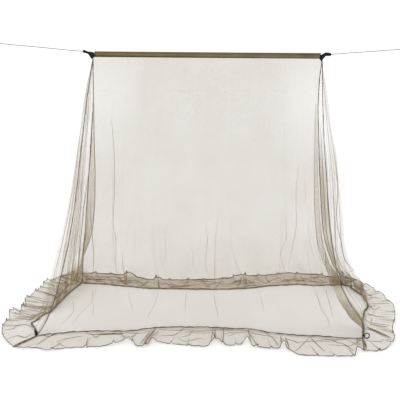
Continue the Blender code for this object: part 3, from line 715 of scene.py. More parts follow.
def seam_point(corner, drop):
    """A point of the seam that falls from an end tab to a corner."""
    x, y = CORNERS[corner]
    top = Vector((math.copysign(APEX.x, x), math.copysign(APEX.y, y), APEX.z))
    foot = Vector((x, y, HEM_Z))
    point = top.lerp(foot, smooth(SEAM_SAG[corner], drop)[0])
    point.z = top.z + (foot.z - top.z) * drop
    return point


def side_table(edges, corners, side):
    """A side's table of hem or edge points with its two corners put on."""
    first, second = SIDE_ENDS[side]
    return [(0, *corners[first]), *edges[side], (1, *corners[second])]


HEM_TABLES = {side: side_table(HEMS, {corner: (x, y, 0) for corner, (x, y) in CORNERS.items()},
                               side) for side in HEMS}


def wall_point(side, along, drop):
    """A point of a wall between its seams, over its hem, with its large folds."""
    first, second = SIDE_ENDS[side]
    point = seam_point(first, drop).lerp(seam_point(second, drop), along)
    foot = seam_point(first, 1).lerp(seam_point(second, 1), along)
    x, y, out = smooth(HEM_TABLES[side], along)
    point += (Vector((x, y, HEM_Z)) - foot) * drop ** HEM_EASE
    swell = math.sin(math.pi * FOLD_TURN * min(drop, FOLD_END))
    flatten = 1 - max(0, drop - FOLD_END) / (1 - FOLD_END)
    belly = smooth(BELLIES[side], drop)[0] if side in BELLIES else 0
    return point + OUTWARD[side] * (out * swell * flatten + belly * math.sin(math.pi * along))


def bunched_at(side, along, drop):
    """How closely a wall's netting is gathered at a place."""
    amount = WALL_BUNCH[side]
    for at, level, reach, deep, more in GATHERS[side]:
        away = ((along - at) / reach) ** 2 + ((drop - level) / deep) ** 2
        if away < 1:
            amount += more * (1 - away) ** 2
    return amount


def lie_on(rows, ways, downs, at, down):
    """The place on a finished sheet at a share of its length and a share of its width."""
    level = 0
    while level < len(rows) - 2 and downs[level + 1] < down:
        level += 1
    found = []
    for row, way in zip(rows[level:level + 2], ways[level:level + 2]):
        step = 0
        while step < len(way) - 2 and way[step + 1] < at:
            step += 1
        part = (at - way[step]) / max(way[step + 1] - way[step], 1e-6)
        found.append(row[step].lerp(row[step + 1], min(max(part, 0), 1)))
    return found[0].lerp(found[1], (down - downs[level]) / (downs[level + 1] - downs[level]))


def lay_tucks(shape, rows, ways, downs, tucks):
    """Add sharp folds to a finished sheet: narrow tubes of the cloth along their courses."""
    for half, bunch, *course in tucks:
        table = [(place, *pair) for place, pair in enumerate(course)]
        spans = len(course) - 1
        steps = 8 * spans
        points = []
        for step in range(steps + 1):
            at, level = smooth(table, spans * step / steps)
            points.append(lie_on(rows, ways, downs, at, level))
        lay_tube(shape, points, half, sides=6, flat=min(0.8, TUCK_TALL / half), bunch=bunch,
                 swell=lambda share: 0.15 + 0.85 * math.sin(math.pi * share) ** 0.6)


def crumple_tucks(crumples, seed, half):
    """Small wandering folds for a crumpled place, as courses in (along, down) pairs."""
    tucks = []
    for at, level, reach, deep, count in crumples:
        for number in range(count):
            spot = noise.noise_vector(Vector((7.3 * number + seed, 3.1 * seed, 11 * at)))
            lean = 3 * noise.noise(Vector((5.7 * number, seed, 2 * level)))
            course = []
            for step in range(4):
                bend = noise.noise_vector(Vector((2.1 * number, 0.9 * step, seed)))
                course.append((
                    min(max(at + reach * (1.7 * spot.x + 0.25 * (step - 1.5) * math.cos(lean)
                                          + 0.35 * bend.x), 0.002), 0.998),
                    min(max(level + deep * (1.7 * spot.y + 0.35 * (step - 1.5) * math.sin(lean)
                                            + 0.35 * bend.y), 0.01), 0.995)))
            tucks.append((half + 0.0009 * abs(spot.z), CRUMPLE_BUNCH, *course))
    return tucks


def crease_strength(down, start, full, end):
    """How strong a crease is at a place on its way: it rises, and may die away again."""
    if down <= start or (down >= end and end > full and end < 1):
        return 0.0
    if down < full:
        return 0.5 - 0.5 * math.cos(math.pi * (down - start) / (full - start))
    if end < 1:
        return 0.5 + 0.5 * math.cos(math.pi * (down - full) / (end - full))
    return 1.0


def steps_between(creases, width, longest):
    """How many steps each plain stretch between a sheet's creases is drawn in."""
    marks = [0.0] + [crease[1] for crease in creases] + [1.0]
    return [max(2, round((after - before) * width / longest))
            for before, after in zip(marks, marks[1:])]


def crease_columns(creases, down, width, plain_steps):
    """The columns of one row of a creased sheet: along, height and sideways shift of each.

    A crease's columns follow it, and the plain columns spread evenly in between."""
    columns = []
    last = 0.0
    for crease, steps in zip(creases, plain_steps):
        begin, finish, half, stand, lay, start, full, end = crease
        share = min(max((down - start) / (end - start), 0), 1)
        middle = begin + (finish - begin) * share
        reach = half / width
        for step in range(steps):
            columns.append((last + (middle - reach - last) * step / steps, 0.0, 0.0))
        strength = crease_strength(down, start, full, end)
        for place in CREASE_STEPS:
            rise = math.cos(math.pi * place / 2) ** 2 * strength
            columns.append((middle + reach * place, rise * stand, rise * lay))
        last = middle + reach
    steps = plain_steps[-1]
    for step in range(steps + 1):
        columns.append((last + (1 - last) * step / steps, 0.0, 0.0))
    return columns


def netting_finish(name, colour, cover):
    """Sheer knitted netting: threads round small openings. It covers more where it is
    gathered, and a little more where it is seen aslant. Its threads are painted darker
    where it is gathered and in sharp folds, as painted shade."""
    finish, tree, shader = blank_finish(name, colour, 0.85)
    place = add_node(tree, "ShaderNodeUVMap", uv_map="UVMap").outputs["UV"]
    pitch = 2 * math.pi / MESH_PITCH
    waves = [add_wave(tree, place, (math.cos(turn) * pitch, math.sin(turn) * pitch, 0), "COSINE")
             for turn in (0, math.pi / 3, 2 * math.pi / 3)]
    total = add_math(tree, "ADD", add_math(tree, "ADD", waves[0], waves[1]), waves[2])
    thread = add_range(tree, total, -1.1, -0.5, (1.8, 0.55), interpolation_type="SMOOTHSTEP")
    cloud = add_clouds(tree, place, 2.6, 4.0, 0.55)
    uneven = add_range(tree, cloud, 0.3, 0.7, (cover * 0.88, cover * 1.12))
    bunched = add_node(tree, "ShaderNodeAttribute", attribute_name="gather").outputs["Fac"]
    covered = add_math(tree, "MULTIPLY", add_math(tree, "MULTIPLY", thread, uneven), bunched)
    clear = add_math(tree, "SUBTRACT", 1.0, add_math(tree, "MINIMUM", covered, 0.97))
    # Seen aslant, one looks through more of it: the way through is longer.
    facing = add_node(tree, "ShaderNodeLayerWeight", {"Blend": 0.5}).outputs["Facing"]
    square = add_math(tree, "MAXIMUM", add_math(tree, "SUBTRACT", 1.0, facing), 0.06)
    longer = add_math(tree, "ADD", 0.65, add_math(tree, "DIVIDE", 0.35, square))
    alpha = add_math(tree, "SUBTRACT", 1.0, add_math(tree, "POWER", clear, longer))
    tree.links.new(alpha, shader.inputs["Alpha"])
    # Painted shade: the threads are coloured darker where layers gather, and darker still in a
    # sharp fold, for the shade that the layers cast on one another.
    deep = add_range(tree, bunched, 1.4, 5.0)
    gather_shaded = add_node(tree, "ShaderNodeMix", {"Factor": deep, "A": (*colour, 1),
                     "B": (*GATHER_SHADE_COLOUR, 1)}, data_type="RGBA").outputs["Result"]
    tone = add_range(tree, cloud, 0.3, 0.7, (0.90, 1.10))
    fold_shade = add_range(tree, bunched, 5.0, 9.0, (1.0, 0.40))
    shade = add_scaled(tree, add_scaled(tree, gather_shaded, tone), fold_shade)
    finish_with(tree, shader, shade, thread, 0.3, 0.0002)
    return finish


netting = netting_finish("netting", THREAD_COLOUR, 0.225)
# Rows are closer together near the floor, where the folds turn sharply.
drops = [1 - (1 - level / NET_ROWS) ** 1.25 for level in range(NET_ROWS + 1)]
for side, creases in CREASES.items():
    first, second = SIDE_ENDS[side]
    foot_width = (seam_point(first, 1) - seam_point(second, 1)).length
    plain_steps = steps_between(creases, foot_width, NET_STEP)
    rows = []
    ways = []
    bunches = []
    for drop in drops:
        width = max((seam_point(first, drop) - seam_point(second, drop)).length, NARROWEST)
        row = []
        way = []
        bunch_row = []
        for along, stand, shift in crease_columns(creases, drop, width, plain_steps):
            at = min(max(along + shift / width, 0), 1)
            point = wall_point(side, at, drop)
            # Slack netting is never flat: shallow upright ripples, deeper lower down.
            spread = 9 * at * foot_width
            slack = noise.noise(Vector((spread, 0.9 * drop, 3.7 * len(side))))
            ripple = noise.noise(Vector((4.1 * spread, 1.6 * drop, 8.3 + len(side))))
            edge = min(1, 12 * at, 12 * (1 - at)) * math.sin(math.pi * drop ** 0.75) ** 0.7
            point += OUTWARD[side] * (stand + edge * (0.010 * slack + 0.0022 * ripple))
            row.append(point)
            way.append(along)
            pucker = SEAM_PUCKER if along in (0, 1) else 0
            bunch_row.append(bunched_at(side, at, drop) + pucker
                             + CREASE_BUNCH[side] * abs(stand))
        rows.append(row)
        ways.append(way)
        bunches.append(bunch_row)
    if side not in BELLIES:
        # The top edge goes up into the strip's fold, and is sewn there.
        for point in rows[0]:
            if abs(point.x) < RIDGE_HALF:
                point.y = math.copysign(0.0012, OUTWARD[side].y)
                point.z = -0.82 * STRIP_TALL
    middle = len(rows[0]) // 2
    shape = bmesh.new()
    cloth_grid(shape, rows, lengths_along(rows[int(NET_ROWS * 0.8)]),
               lengths_along([row[middle] for row in rows]), bunches)
    crumples = crumple_tucks(WALL_CRUMPLES[side], len(side), WALL_CRUMPLE_HALF)
    lay_tucks(shape, rows, ways, drops, WALL_TUCKS[side] + crumples)
    wall = new_mesh(side + "_netting", shape, netting)
    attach(wall, "root")
    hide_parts("net_" + side)

# --------------------------------------------------------- bindings on seams and hems
# Narrow dark tape is folded over every seam and sewn through, which draws the netting up
# a little, so the tape runs slightly uneven. Four seams fall to the corners, and four
# hems join the walls to the skirt.
SEAM_RADIUS = 0.0029
SEAM_STEPS = 90
SEAM_SWAY = 0.0022
HEM_RADIUS = {"front": 0.0029, "right": 0.0046, "back": 0.0044, "left": 0.0042}
HEM_STEPS = 240
TAPE_COLOUR = (0.078, 0.058, 0.034)


def tape_finish(name, colour):
    """Folded tape: fine ribs along it, a stitch line, and lighter, rubbed places."""
    finish, tree, shader = blank_finish(name, colour, 0.8, sheen=0.1)
    place = add_node(tree, "ShaderNodeUVMap", uv_map="UVMap").outputs["UV"]
    rib = add_wave(tree, place, (2 * math.pi / 0.0030, 2 * math.pi / 0.0016, 0))
    rub = add_range(tree, add_clouds(tree, place, 22.0, 4.0), 0.3, 0.7, (0.65, 1.45))
    ribbed = add_range(tree, rib, -1.0, 1.0, (0.8, 1.1))
    shade = add_scaled(tree, colour, add_math(tree, "MULTIPLY", rub, ribbed))
    finish_with(tree, shader, shade, rib, 0.5, 0.0003)
    return finish


def tape_swell(seed, amount):
    """How thick a tape is along its way, where the sewing bunches it."""
    return lambda share: 1 + amount * noise.noise(Vector((95 * share, seed, 0.5)))


binding_tape = tape_finish("binding_tape", TAPE_COLOUR)
for number, corner in enumerate(CORNERS):
    points = []
    for step in range(SEAM_STEPS + 1):
        drop = step / SEAM_STEPS
        point = seam_point(corner, drop)
        sway = SEAM_SWAY * min(1, 8 * drop, 8 * (1 - drop))
        point.x += sway * noise.noise(Vector((31 * drop, number, 0)))
        point.y += sway * noise.noise(Vector((31 * drop, number, 7)))
        points.append(point)
    points[-1].z += 0.002
    shape = bmesh.new()
    lay_tube(shape, points, SEAM_RADIUS, flat=0.8, swell=tape_swell(number, 0.5))
    seam = new_mesh(corner + "_seam_tape", shape, binding_tape)
    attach(seam, "root")
    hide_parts("seam_" + corner)


def hem_point(side, along):
    x, y, _ = smooth(HEM_TABLES[side], along)
    return Vector((x, y, HEM_Z))


def rest_on_floor(shape):
    """Tape and netting lie flat where they touch the floor."""
    for corner in shape.verts:
        corner.co.z = max(corner.co.z, FLOOR + 0.0002)


for number, side in enumerate(HEMS):
    points = [hem_point(side, step / HEM_STEPS) for step in range(HEM_STEPS + 1)]
    for step, point in enumerate(points):
        # The gathers behind it push the hem about.
        calm = min(1, step / 12, (HEM_STEPS - step) / 12)
        push = noise.noise_vector(Vector((0.31 * step, 5 * number, 1.5)))
        point += Vector((0.003 * push.x, 0.009 * push.y, 0.003 + 0.005 * push.z)) * calm
    for end, inner in ((0, 1), (-1, -2)):
        points[end] += (points[inner] - points[end]).normalized() * 0.003
    shape = bmesh.new()
    lay_tube(shape, points, HEM_RADIUS[side], swell=tape_swell(9 + number, 0.6))
    rest_on_floor(shape)
    hem = new_mesh(side + "_hem_tape", shape, binding_tape)
    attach(hem, "root")
    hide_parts("hem_" + side)

# ---------------------------------------------------------------------------- skirts
# Four lengths of the same netting, fuller than the hems that they are sewn to. They lie
# on the floor in ruffles, mitred at the corners, and their outer edge is rolled and sewn.
# The corners: x, y and the edge's lift off the floor.
SKIRT_CORNERS = {"front_left": (-1.214, -0.720, 0.004), "front_right": (0.994, -0.741, 0.008),
                 "back_right": (1.290, 0.678, 0.004), "back_left": (-1.232, 0.702, 0.004)}
# The edges between them. Columns: along the hem, x, y and lift.
SKIRT_EDGES = thousandths({
    "front": [
        (35, -1128, -748, 10), (62, -1070, -732, 2), (95, -990, -775, 8), (145, -860, -729, 1),
        (210, -680, -704, 0), (262, -530, -640, 16), (275, -507, -614, 20), (312, -428, -700, 4),
        (345, -372, -688, 10), (360, -345, -620, 26), (380, -305, -640, 8), (430, -200, -657, 0),
        (515, 0, -692, 2), (545, 64, -612, 20), (585, 145, -674, 2), (620, 222, -664, 4),
        (645, 272, -602, 26), (660, 302, -686, 4), (735, 462, -719, 6), (750, 492, -668, 26),
        (765, 520, -730, 4), (795, 590, -804, 0), (875, 765, -816, 1), (945, 912, -818, 3),
        (970, 955, -728, 24),
    ],
    "right": [
        (60, 1070, -740, 2), (115, 1150, -692, 0), (175, 1248, -534, 16), (235, 1262, -440, 2),
        (295, 1292, -350, 24), (355, 1340, -230, 2), (415, 1362, -160, 28), (475, 1392, -60, 4),
        (545, 1414, 60, 18), (615, 1408, 190, 2), (690, 1400, 290, 16), (765, 1378, 390, 2),
        (840, 1354, 480, 14), (920, 1324, 580, 2),
    ],
    "back": [
        (60, 1206, 702, 12), (110, 1088, 750, 2), (170, 926, 818, 0), (230, 720, 812, 10),
        (290, 560, 786, 2), (350, 400, 734, 10), (385, 310, 690, 32), (420, 220, 690, 4),
        (490, 70, 660, 0), (560, -70, 638, 2), (630, -220, 614, 6), (690, -350, 612, 10),
        (710, -385, 616, 30), (740, -450, 624, 4), (790, -560, 676, 4), (825, -640, 728, 32),
        (855, -720, 752, 4), (900, -870, 786, 1), (950, -1060, 784, 6),
    ],
    "left": [
        (70, -1280, 612, 2), (140, -1318, 506, 20), (210, -1318, 430, 2), (280, -1316, 320, 24),
        (350, -1358, 200, 2), (415, -1358, 80, 32), (480, -1334, -10, 2), (540, -1340, -70, 34),
        (600, -1338, -120, 2), (660, -1398, -180, 38), (725, -1376, -270, 2),
        (800, -1382, -366, 12), (870, -1360, -482, 2), (935, -1300, -612, 10),
    ],
})
# Laid pleats and standing ruffles across the skirt, out to its edge. Columns: along at the
# hem and at the edge, half width at the edge, height, how far it lies over, and the places
# across the skirt's width at which it starts and is fullest.
RUFFLES = thousandths({
    "front": [
        (50, 40, 16, 14, 10, 100, 800), (120, 110, 14, 12, -12, 200, 850),
        (176, 180, 12, 16, 12, 150, 800), (236, 240, 10, 14, 0, 300, 900),
        (292, 296, 12, 14, -14, 150, 850), (376, 332, 14, 12, 30, 20, 500),
        (430, 420, 12, 12, 0, 300, 900), (470, 470, 10, 10, -10, 100, 800),
        (538, 540, 10, 18, 12, 50, 600), (566, 570, 9, 14, -10, 50, 600),
        (608, 606, 11, 12, 0, 250, 900), (645, 668, 12, 14, 18, 40, 700),
        (705, 714, 10, 12, -10, 200, 850), (770, 752, 12, 20, 16, 60, 700),
        (820, 836, 12, 12, 12, 100, 800), (868, 890, 11, 14, -12, 200, 850),
        (930, 940, 12, 14, 14, 100, 800),
    ],
    "right": [
        (50, 70, 12, 16, 14, 50, 750), (120, 140, 11, 20, -12, 50, 750),
        (205, 208, 12, 18, 18, 100, 800), (272, 268, 10, 20, -12, 50, 700),
        (330, 326, 11, 16, 16, 100, 800), (388, 388, 10, 20, -10, 50, 750),
        (450, 446, 11, 9, 14, 100, 800), (515, 512, 10, 9, -14, 50, 750),
        (585, 582, 11, 9, 14, 100, 800), (655, 654, 10, 9, -10, 50, 700),
        (730, 728, 11, 9, 16, 100, 800), (800, 802, 10, 9, -12, 50, 750),
        (885, 880, 11, 9, 14, 100, 800),
    ],
    "back": [
        (84, 80, 12, 11, 14, 50, 750), (140, 140, 12, 20, -14, 50, 750),
        (200, 200, 12, 12, 16, 20, 700), (262, 262, 12, 11, -14, 50, 750),
        (322, 322, 12, 12, 14, 20, 700), (368, 372, 9, 24, -10, 20, 700),
        (402, 406, 9, 20, 12, 20, 700), (455, 455, 12, 11, -14, 50, 750),
        (525, 525, 12, 11, 14, 50, 750), (595, 595, 12, 12, -14, 20, 700),
        (660, 660, 12, 11, 14, 50, 750), (724, 724, 10, 22, -10, 20, 700),
        (766, 766, 12, 11, 14, 50, 750), (840, 840, 9, 22, -10, 20, 700),
        (880, 880, 12, 11, 14, 50, 750), (928, 924, 12, 20, -14, 50, 750),
    ],
    "left": [
        (100, 104, 12, 18, 14, 50, 750), (175, 174, 10, 20, -12, 50, 750),
        (245, 244, 11, 18, 16, 100, 800), (315, 314, 10, 22, -12, 50, 700),
        (382, 382, 11, 18, 14, 100, 800), (448, 448, 10, 20, -10, 50, 750),
        (510, 510, 11, 20, 14, 100, 800), (570, 570, 10, 20, -12, 50, 750),
        (630, 630, 11, 22, 14, 100, 800), (692, 690, 10, 20, -12, 50, 700),
        (762, 760, 11, 18, 14, 100, 800), (836, 836, 10, 16, -12, 50, 750),
        (900, 905, 10, 14, 12, 100, 800),
    ],
})
# Crumples, as on the walls. Columns: along, share of the width, two reaches, and how many.
SKIRT_CRUMPLES = {
    "front": [(0.30, 0.20, 0.10, 0.14, 5), (0.60, 0.20, 0.16, 0.14, 7), (0.90, 0.30, 0.10, 0.20, 6),
              (0.985, 0.40, 0.012, 0.36, 12)],
    "right": [(0.80, 0.35, 0.16, 0.26, 12), (0.45, 0.20, 0.20, 0.12, 6),
              (0.02, 0.50, 0.02, 0.30, 8)],
    "back": [(0.12, 0.45, 0.12, 0.30, 12), (0.38, 0.45, 0.10, 0.30, 8), (0.62, 0.45, 0.12, 0.30, 8),
             (0.88, 0.45, 0.10, 0.30, 16)],
    "left": [(0.20, 0.40, 0.16, 0.30, 20), (0.55, 0.30, 0.20, 0.24, 12)],
}
CRUMPLE_HALF = {"front": 0.0011, "right": 0.0010, "back": 0.0019, "left": 0.0013}
SKIRT_BUNCH = {"front": 1.0, "right": 0.85, "back": 1.20, "left": 0.90}
RUFFLE_BUNCH = 14           # what a ruffle adds for each metre that it stands up
HEM_BUNCH = 0.9             # what the sewing adds at the hem
SKIRT_ROWS = 18
SKIRT_STEP = 0.009
LOOSE_FROM = 0.3            # the share of its width that lies flat by the hem
EDGE_RADIUS = {"front": 0.0021, "right": 0.0023, "back": 0.0042, "left": 0.0024}
EDGE_COLOUR = (0.092, 0.072, 0.048)
# Sharp folds pressed across the skirts, listed as tuck_table reads them.
SKIRT_TUCKS = tuck_table({
    "front": [
        (2.4, 4.6, 150, 100, 178, 190, 240, 150, 300, 200, 352, 150),
        (2.2, 4.6, 372, 130, 420, 190, 460, 150, 520, 170), (2.2, 4.6, 163, 40, 190, 390, 200, 60),
        (2, 4.2, 250, 60, 262, 500, 270, 1000), (2, 3.8, 303, 80, 293, 480, 270, 800),
        (10, 1.2, 362, 40, 347, 400, 330, 920), (2.2, 4.9, 348, 60, 332, 500, 318, 860),
        (2.2, 4.9, 374, 100, 362, 600, 345, 980),
        (1.8, 4.2, 380, 550, 417, 510, 440, 260, 450, 10), (1.6, 3.4, 443, 610, 470, 410, 483, 60),
        (1.6, 3, 433, 560, 457, 800, 500, 590, 513, 640), (2.4, 4.2, 550, 30, 547, 500, 540, 970),
        (1.8, 3.4, 543, 110, 536, 600, 530, 980), (2, 4.2, 577, 10, 574, 450, 570, 880),
        (1.6, 2.8, 583, 490, 613, 290), (2, 4.2, 647, 110, 657, 320, 670, 460),
        (2, 4.2, 653, 0, 654, 500, 653, 980), (2, 4.2, 703, 0, 727, 380, 737, 900),
        (2.6, 4.9, 753, 90, 750, 500, 744, 980), (2.2, 4.6, 763, 180, 768, 550, 767, 910),
        (1.8, 3.4, 760, 270, 787, 310, 797, 410), (1.8, 3.4, 840, 50, 800, 590, 775, 970),
        (2.2, 4.6, 840, 40, 853, 440, 867, 790), (2, 4.2, 900, 170, 940, 420, 957, 910),
        (2, 3.8, 953, 70, 970, 500, 972, 950), (2, 4.2, 50, 820, 50, 300, 56, 20),
        (1.8, 3.4, 90, 500, 113, 370, 153, 260), (1.8, 3.4, 90, 500, 133, 900),
        (1.8, 3.4, 180, 980, 170, 380), (2.4, 4.6, 26, 40, 50, 160, 60, 10),
        (4.5, 1.2, 4, 950, 6, 500, 8, 60),
    ],
    "right": [
        (2, 4.2, 596, 20, 660, 440, 623, 840), (2, 3.8, 520, 30, 467, 260, 520, 500),
        (2.2, 4.2, 397, 110, 373, 480, 380, 910), (2, 4.2, 290, 30, 273, 390, 287, 890),
        (10, 1.3, 250, 250, 258, 600, 270, 920), (2.2, 4.6, 150, 30, 167, 290, 160, 890),
        (2, 3.8, 43, 340, 117, 650, 160, 960), (13, 2.2, 190, 100, 180, 300, 165, 600, 158, 900),
        (2, 3.8, 870, 430, 743, 390, 677, 490), (1.8, 3.4, 780, 100, 790, 500, 800, 900),
        (1.8, 3.4, 690, 60, 705, 550, 700, 950), (1.8, 3.4, 560, 80, 560, 550, 548, 950),
        (5, 2.2, 12, 100, 20, 500, 12, 900),
    ],
    "back": [
        (2.2, 7.4, 965, 200, 945, 800, 920, 300, 895, 700, 880, 150),
        (2.2, 7.4, 860, 750, 835, 200, 800, 600, 775, 250, 745, 850),
        (2.2, 7.4, 700, 200, 680, 700, 650, 250, 610, 800, 570, 350),
        (2, 6.4, 550, 750, 520, 300, 480, 700, 440, 250, 415, 700),
        (2.2, 7.4, 360, 200, 330, 750, 300, 300, 255, 650, 225, 150),
        (2.2, 7.4, 215, 800, 180, 300, 150, 700, 115, 250, 70, 650),
        (3.4, 4.8, 950, 690, 943, 460, 930, 110), (3.4, 4.8, 903, 790, 925, 450, 933, 210),
        (3.4, 5, 880, 980, 850, 510, 833, 160), (4.2, 5, 837, 980, 834, 500, 827, 30),
        (3.4, 4.8, 803, 800, 770, 450, 740, 160), (3.4, 4.8, 747, 950, 762, 500, 770, 90),
        (4, 5, 713, 960, 708, 500, 700, 80), (3.4, 4.8, 663, 760, 640, 400, 613, 20),
        (3.4, 4.4, 587, 880, 610, 500, 630, 110), (3.2, 4.2, 540, 920, 515, 450, 505, 60),
        (3.2, 4.2, 455, 900, 470, 450, 490, 60), (3.8, 5, 380, 960, 392, 500, 407, 80),
        (3.8, 5, 377, 960, 370, 500, 363, 110), (3.6, 5, 373, 900, 352, 500, 327, 110),
        (3.4, 4.8, 303, 920, 290, 500, 277, 160), (3.4, 4.8, 243, 790, 222, 400, 200, 60),
        (3.4, 4.8, 193, 890, 170, 400, 137, 20), (3.4, 4.8, 163, 830, 130, 640, 77, 310),
    ],
    "left": [
        (2.4, 4.6, 300, 780, 307, 510, 323, 200), (11, 1.3, 300, 820, 306, 600, 318, 300),
        (2.2, 4.2, 400, 860, 417, 480, 417, 100), (2.2, 4.2, 547, 860, 547, 510, 540, 140),
        (13, 1.2, 500, 800, 505, 500, 505, 140), (2, 3.8, 577, 940, 577, 610, 600, 290),
        (2.2, 4.2, 713, 910, 720, 330, 690, 40), (14, 1.1, 700, 850, 696, 500, 670, 100),
        (2, 3.8, 707, 910, 667, 640, 657, 290, 647, 20),
        (2.4, 3.8, 860, 940, 853, 650, 823, 510, 810, 230, 870, 40),
        (2.2, 3.8, 943, 960, 927, 610, 963, 410, 937, 150), (2, 3.4, 200, 900, 206, 500, 215, 80),
        (2, 3.4, 110, 900, 116, 500, 122, 80), (5, 2, 992, 950, 990, 500, 988, 60),
    ],
})

skirt_netting = netting_finish("skirt_netting", THREAD_COLOUR, 0.19)
rolled_edge = tape_finish("rolled_edge", EDGE_COLOUR)
shares = [level / SKIRT_ROWS for level in range(SKIRT_ROWS + 1)]
for number, (side, table) in enumerate(RUFFLES.items()):
    ruffles = [(*ruffle, 1.0) for ruffle in table]
    edges = side_table(SKIRT_EDGES, SKIRT_CORNERS, side)
    edge_length = sum(math.dist(a[1:3], b[1:3]) for a, b in zip(edges, edges[1:]))
    plain_steps = steps_between(ruffles, edge_length, SKIRT_STEP)
    rows = []
    ways = []
    bunches = []
    for width in shares:
        # A ruffle widens from the hem to the edge.
        spread = edge_length / (0.25 + 0.75 * width)
        row = []
        way = []
        bunch_row = []
        for along, stand, shift in crease_columns(ruffles, width, spread, plain_steps):
            at = min(max(along + shift * width / edge_length, 0), 1)
            edge_x, edge_y, lift = smooth(edges, at)
            point = hem_point(side, at).lerp(Vector((edge_x, edge_y, 0)), width)
            inside = min(1, 10 * at, 10 * (1 - at))
            loose = max(0, width - LOOSE_FROM) / (1 - LOOSE_FROM)
            ripple = noise.noise(Vector((26 * at * edge_length, 1.2 * width, 5 * number)))
            rise = abs(ripple) * 0.010 * loose * inside + stand * width * inside
            point.z = FLOOR + 0.0012 + 0.0012 * (1 - min(1, 6 * width)) + lift * loose + rise
            row.append(point)
            way.append(along)
            bunch_row.append(SKIRT_BUNCH[side] + HEM_BUNCH * max(0, 1 - 7 * width)
                             + RUFFLE_BUNCH * abs(stand))
        rows.append(row)
        ways.append(way)
        bunches.append(bunch_row)
    middle = len(rows[0]) // 2
    shape = bmesh.new()
    cloth_grid(shape, rows, lengths_along(rows[-1]),
               lengths_along([row[middle] for row in rows]), bunches)
    crumples = crumple_tucks(SKIRT_CRUMPLES[side], 20 + number, CRUMPLE_HALF[side])
    lay_tucks(shape, rows, ways, shares, SKIRT_TUCKS[side] + crumples)
    # The mitre: its two cut edges are rolled and sewn together, from hem to edge.
    for column in (0, -1):
        mitre = [row[column] + Vector((0, 0, 0.0012)) for row in rows]
        lay_tube(shape, mitre, EDGE_RADIUS[side] * 1.3, sides=6, slot=1,
                 swell=tape_swell(40 + number, 0.6))
    rim = [point + Vector((0, 0, 0.0018)) for point in rows[-1]]
    lay_tube(shape, rim, EDGE_RADIUS[side], sides=6, slot=1, swell=tape_swell(20 + number, 0.5))
    rest_on_floor(shape)
    skirt = new_mesh(side + "_skirt", shape, skirt_netting, rolled_edge)
    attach(skirt, "root")
    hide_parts("skirt_" + side)

# ------------------------------------------------------------------ corner peg rings
# A black coated wire ring for a ground peg stands at each corner, its ends closed by a
# crimped sleeve. It is linked through a short webbing loop sewn to the foot of the seam.
# Columns: the eye's centre, the ring's centre, the ring's turn and lean in degrees, and
# how wide the eye's webbing is.
PEG_RINGS = {
    "front_left": ((-1.1158, -0.5393, -1.8322), (-1.1272, -0.5266, -1.8322), 112, -8, 0.0270),
    "front_right": ((1.0421, -0.5399, -1.8322), (1.0618, -0.5421, -1.8322), 0, 0, 0.0090),
    "back_left": ((-1.0179, 0.5479, -1.8322), (-1.0366, 0.5509, -1.8322), 180, 0, 0.0080),
    "back_right": ((1.1384, 0.5482, -1.8322), (1.1572, 0.5512, -1.8322), 0, 0, 0.0080),
}
RING_RADIUS = 0.0170
RING_WIRE = 0.0032
SLEEVE_AT = 1.9             # the sleeve's middle and half its reach, in radians
SLEEVE_REACH = 0.21
SLEEVE_SWELL = 0.0006
EYE_RADIUS = 0.0070
EYE_WIRE = 0.0020


def coated_wire_finish(name, colour):
    """Black coating over wire: slightly glossy, with fine pits and rubbed spots."""
    finish, tree, shader = blank_finish(name, colour, 0.5, specular=0.35)
    place = add_node(tree, "ShaderNodeTexCoord").outputs["Object"]
    pits = add_clouds(tree, place, 420.0, 3.0)
    tone = add_range(tree, pits, 0.35, 0.75, (0.7, 2.0))
    gloss = add_range(tree, pits, 0.3, 0.7, (0.32, 0.6))
    tree.links.new(gloss, shader.inputs["Roughness"])
    finish_with(tree, shader, add_scaled(tree, colour, tone), pits, 0.25, 0.0002)
    return finish


def add_torus(name, radius, wire, around, across):
    """A new round ring, alone selected."""
    bpy.ops.object.select_all(action="DESELECT")
    bpy.ops.mesh.primitive_torus_add(
        major_radius=radius, minor_radius=wire, major_segments=around, minor_segments=across)
    torus = bpy.context.object
    torus.name = torus.data.name = name
    bpy.ops.object.mode_set(mode="EDIT")
    return torus


def settle(piece, place, finish):
    """Leave edit mode, put a piece where it goes, and apply that to its mesh."""
    bpy.ops.object.mode_set(mode="OBJECT")
    piece.location = place
    bpy.ops.object.transform_apply(location=True, rotation=True, scale=True)
    bpy.ops.object.shade_smooth()
    piece.data.materials.append(finish)


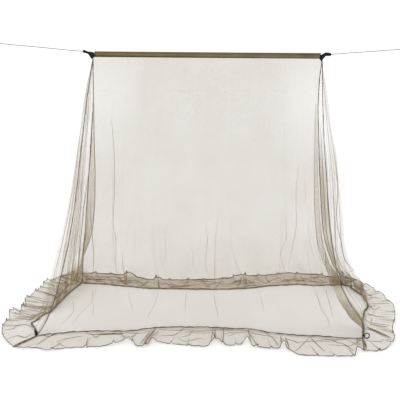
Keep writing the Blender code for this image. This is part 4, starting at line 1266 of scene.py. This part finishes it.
ring_coating = coated_wire_finish("peg_ring", (0.008, 0.008, 0.008))
for corner, (eye_at, ring_at, turn, lean, band) in PEG_RINGS.items():
    ring = add_torus(corner + "_peg_ring", RING_RADIUS, RING_WIRE, 56, 12)
    # The crimped sleeve: a stretch of the wire's own rings, swollen about their middles.
    bpy.ops.mesh.select_all(action="DESELECT")
    bpy.ops.object.mode_set(mode="OBJECT")
    for vertex in ring.data.vertices:
        away = math.atan2(vertex.co.y, vertex.co.x) - SLEEVE_AT
        vertex.select = abs(away) < SLEEVE_REACH
    bpy.ops.object.mode_set(mode="EDIT")
    bpy.ops.transform.shrink_fatten(value=SLEEVE_SWELL)
    ring.rotation_euler = (math.radians(90 + lean), 0, math.radians(turn))
    settle(ring, ring_at, ring_coating)
    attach(ring, "root")
    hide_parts("peg_ring_" + corner)

    # The eye: a band of webbing on edge, drawn round, its ends lapped and sewn.
    eye = add_torus(corner + "_webbing_eye", EYE_RADIUS, EYE_WIRE, 36, 10)
    bpy.ops.mesh.select_all(action="SELECT")
    bpy.ops.transform.resize(value=(1, 1, band / (2 * EYE_WIRE)), center_override=(0, 0, 0))
    settle(eye, eye_at, tab_webbing)
    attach(eye, "root")
    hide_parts("peg_eye_" + corner)

# --------------------------------------------------------------------- floor and light
# A plain pale floor under an even, bright, shadowless sky, as in a studio sweep, with a
# wide soft lamp over the front to give the dark webbing a little shape.
FLOOR_SHADE = 0.925
SKY_STRENGTH = 1.16

bpy.ops.object.select_all(action="DESELECT")
bpy.ops.mesh.primitive_plane_add(size=160, location=(0, 0, FLOOR))
floor = bpy.context.object
floor.name = "floor"
floor_finish = blank_finish("studio_floor", (FLOOR_SHADE,) * 3, 1.0, specular=0.0)[0]
floor.data.materials.append(floor_finish)

world = bpy.data.worlds.new("studio")
bpy.context.scene.world = world
world.use_nodes = True
sky = world.node_tree.nodes["Background"]
sky.inputs["Color"].default_value = (1, 1, 1, 1)
# The camera sees it in the floor's own shade.
path = add_node(world.node_tree, "ShaderNodeLightPath")
seen = add_range(world.node_tree, path.outputs["Is Camera Ray"], 0.0, 1.0,
                 (SKY_STRENGTH, SKY_STRENGTH * FLOOR_SHADE))
world.node_tree.links.new(seen, sky.inputs["Strength"])

lamp = bpy.data.lights.new("soft_key", "AREA")
lamp.shape = "DISK"
lamp.size = 2.4
lamp.energy = 22
lamp_holder = bpy.data.objects.new("soft_key", lamp)
bpy.context.scene.collection.objects.link(lamp_holder)
lamp_holder.location = (-1.8, -3.2, 2.4)
aim = Vector((0, 0, -0.6)) - lamp_holder.location
lamp_holder.rotation_euler = aim.to_track_quat("-Z", "Y").to_euler()

view = bpy.context.scene.view_settings
view.view_transform = "Standard"
bpy.context.scene.cycles.transparent_max_bounces = 48
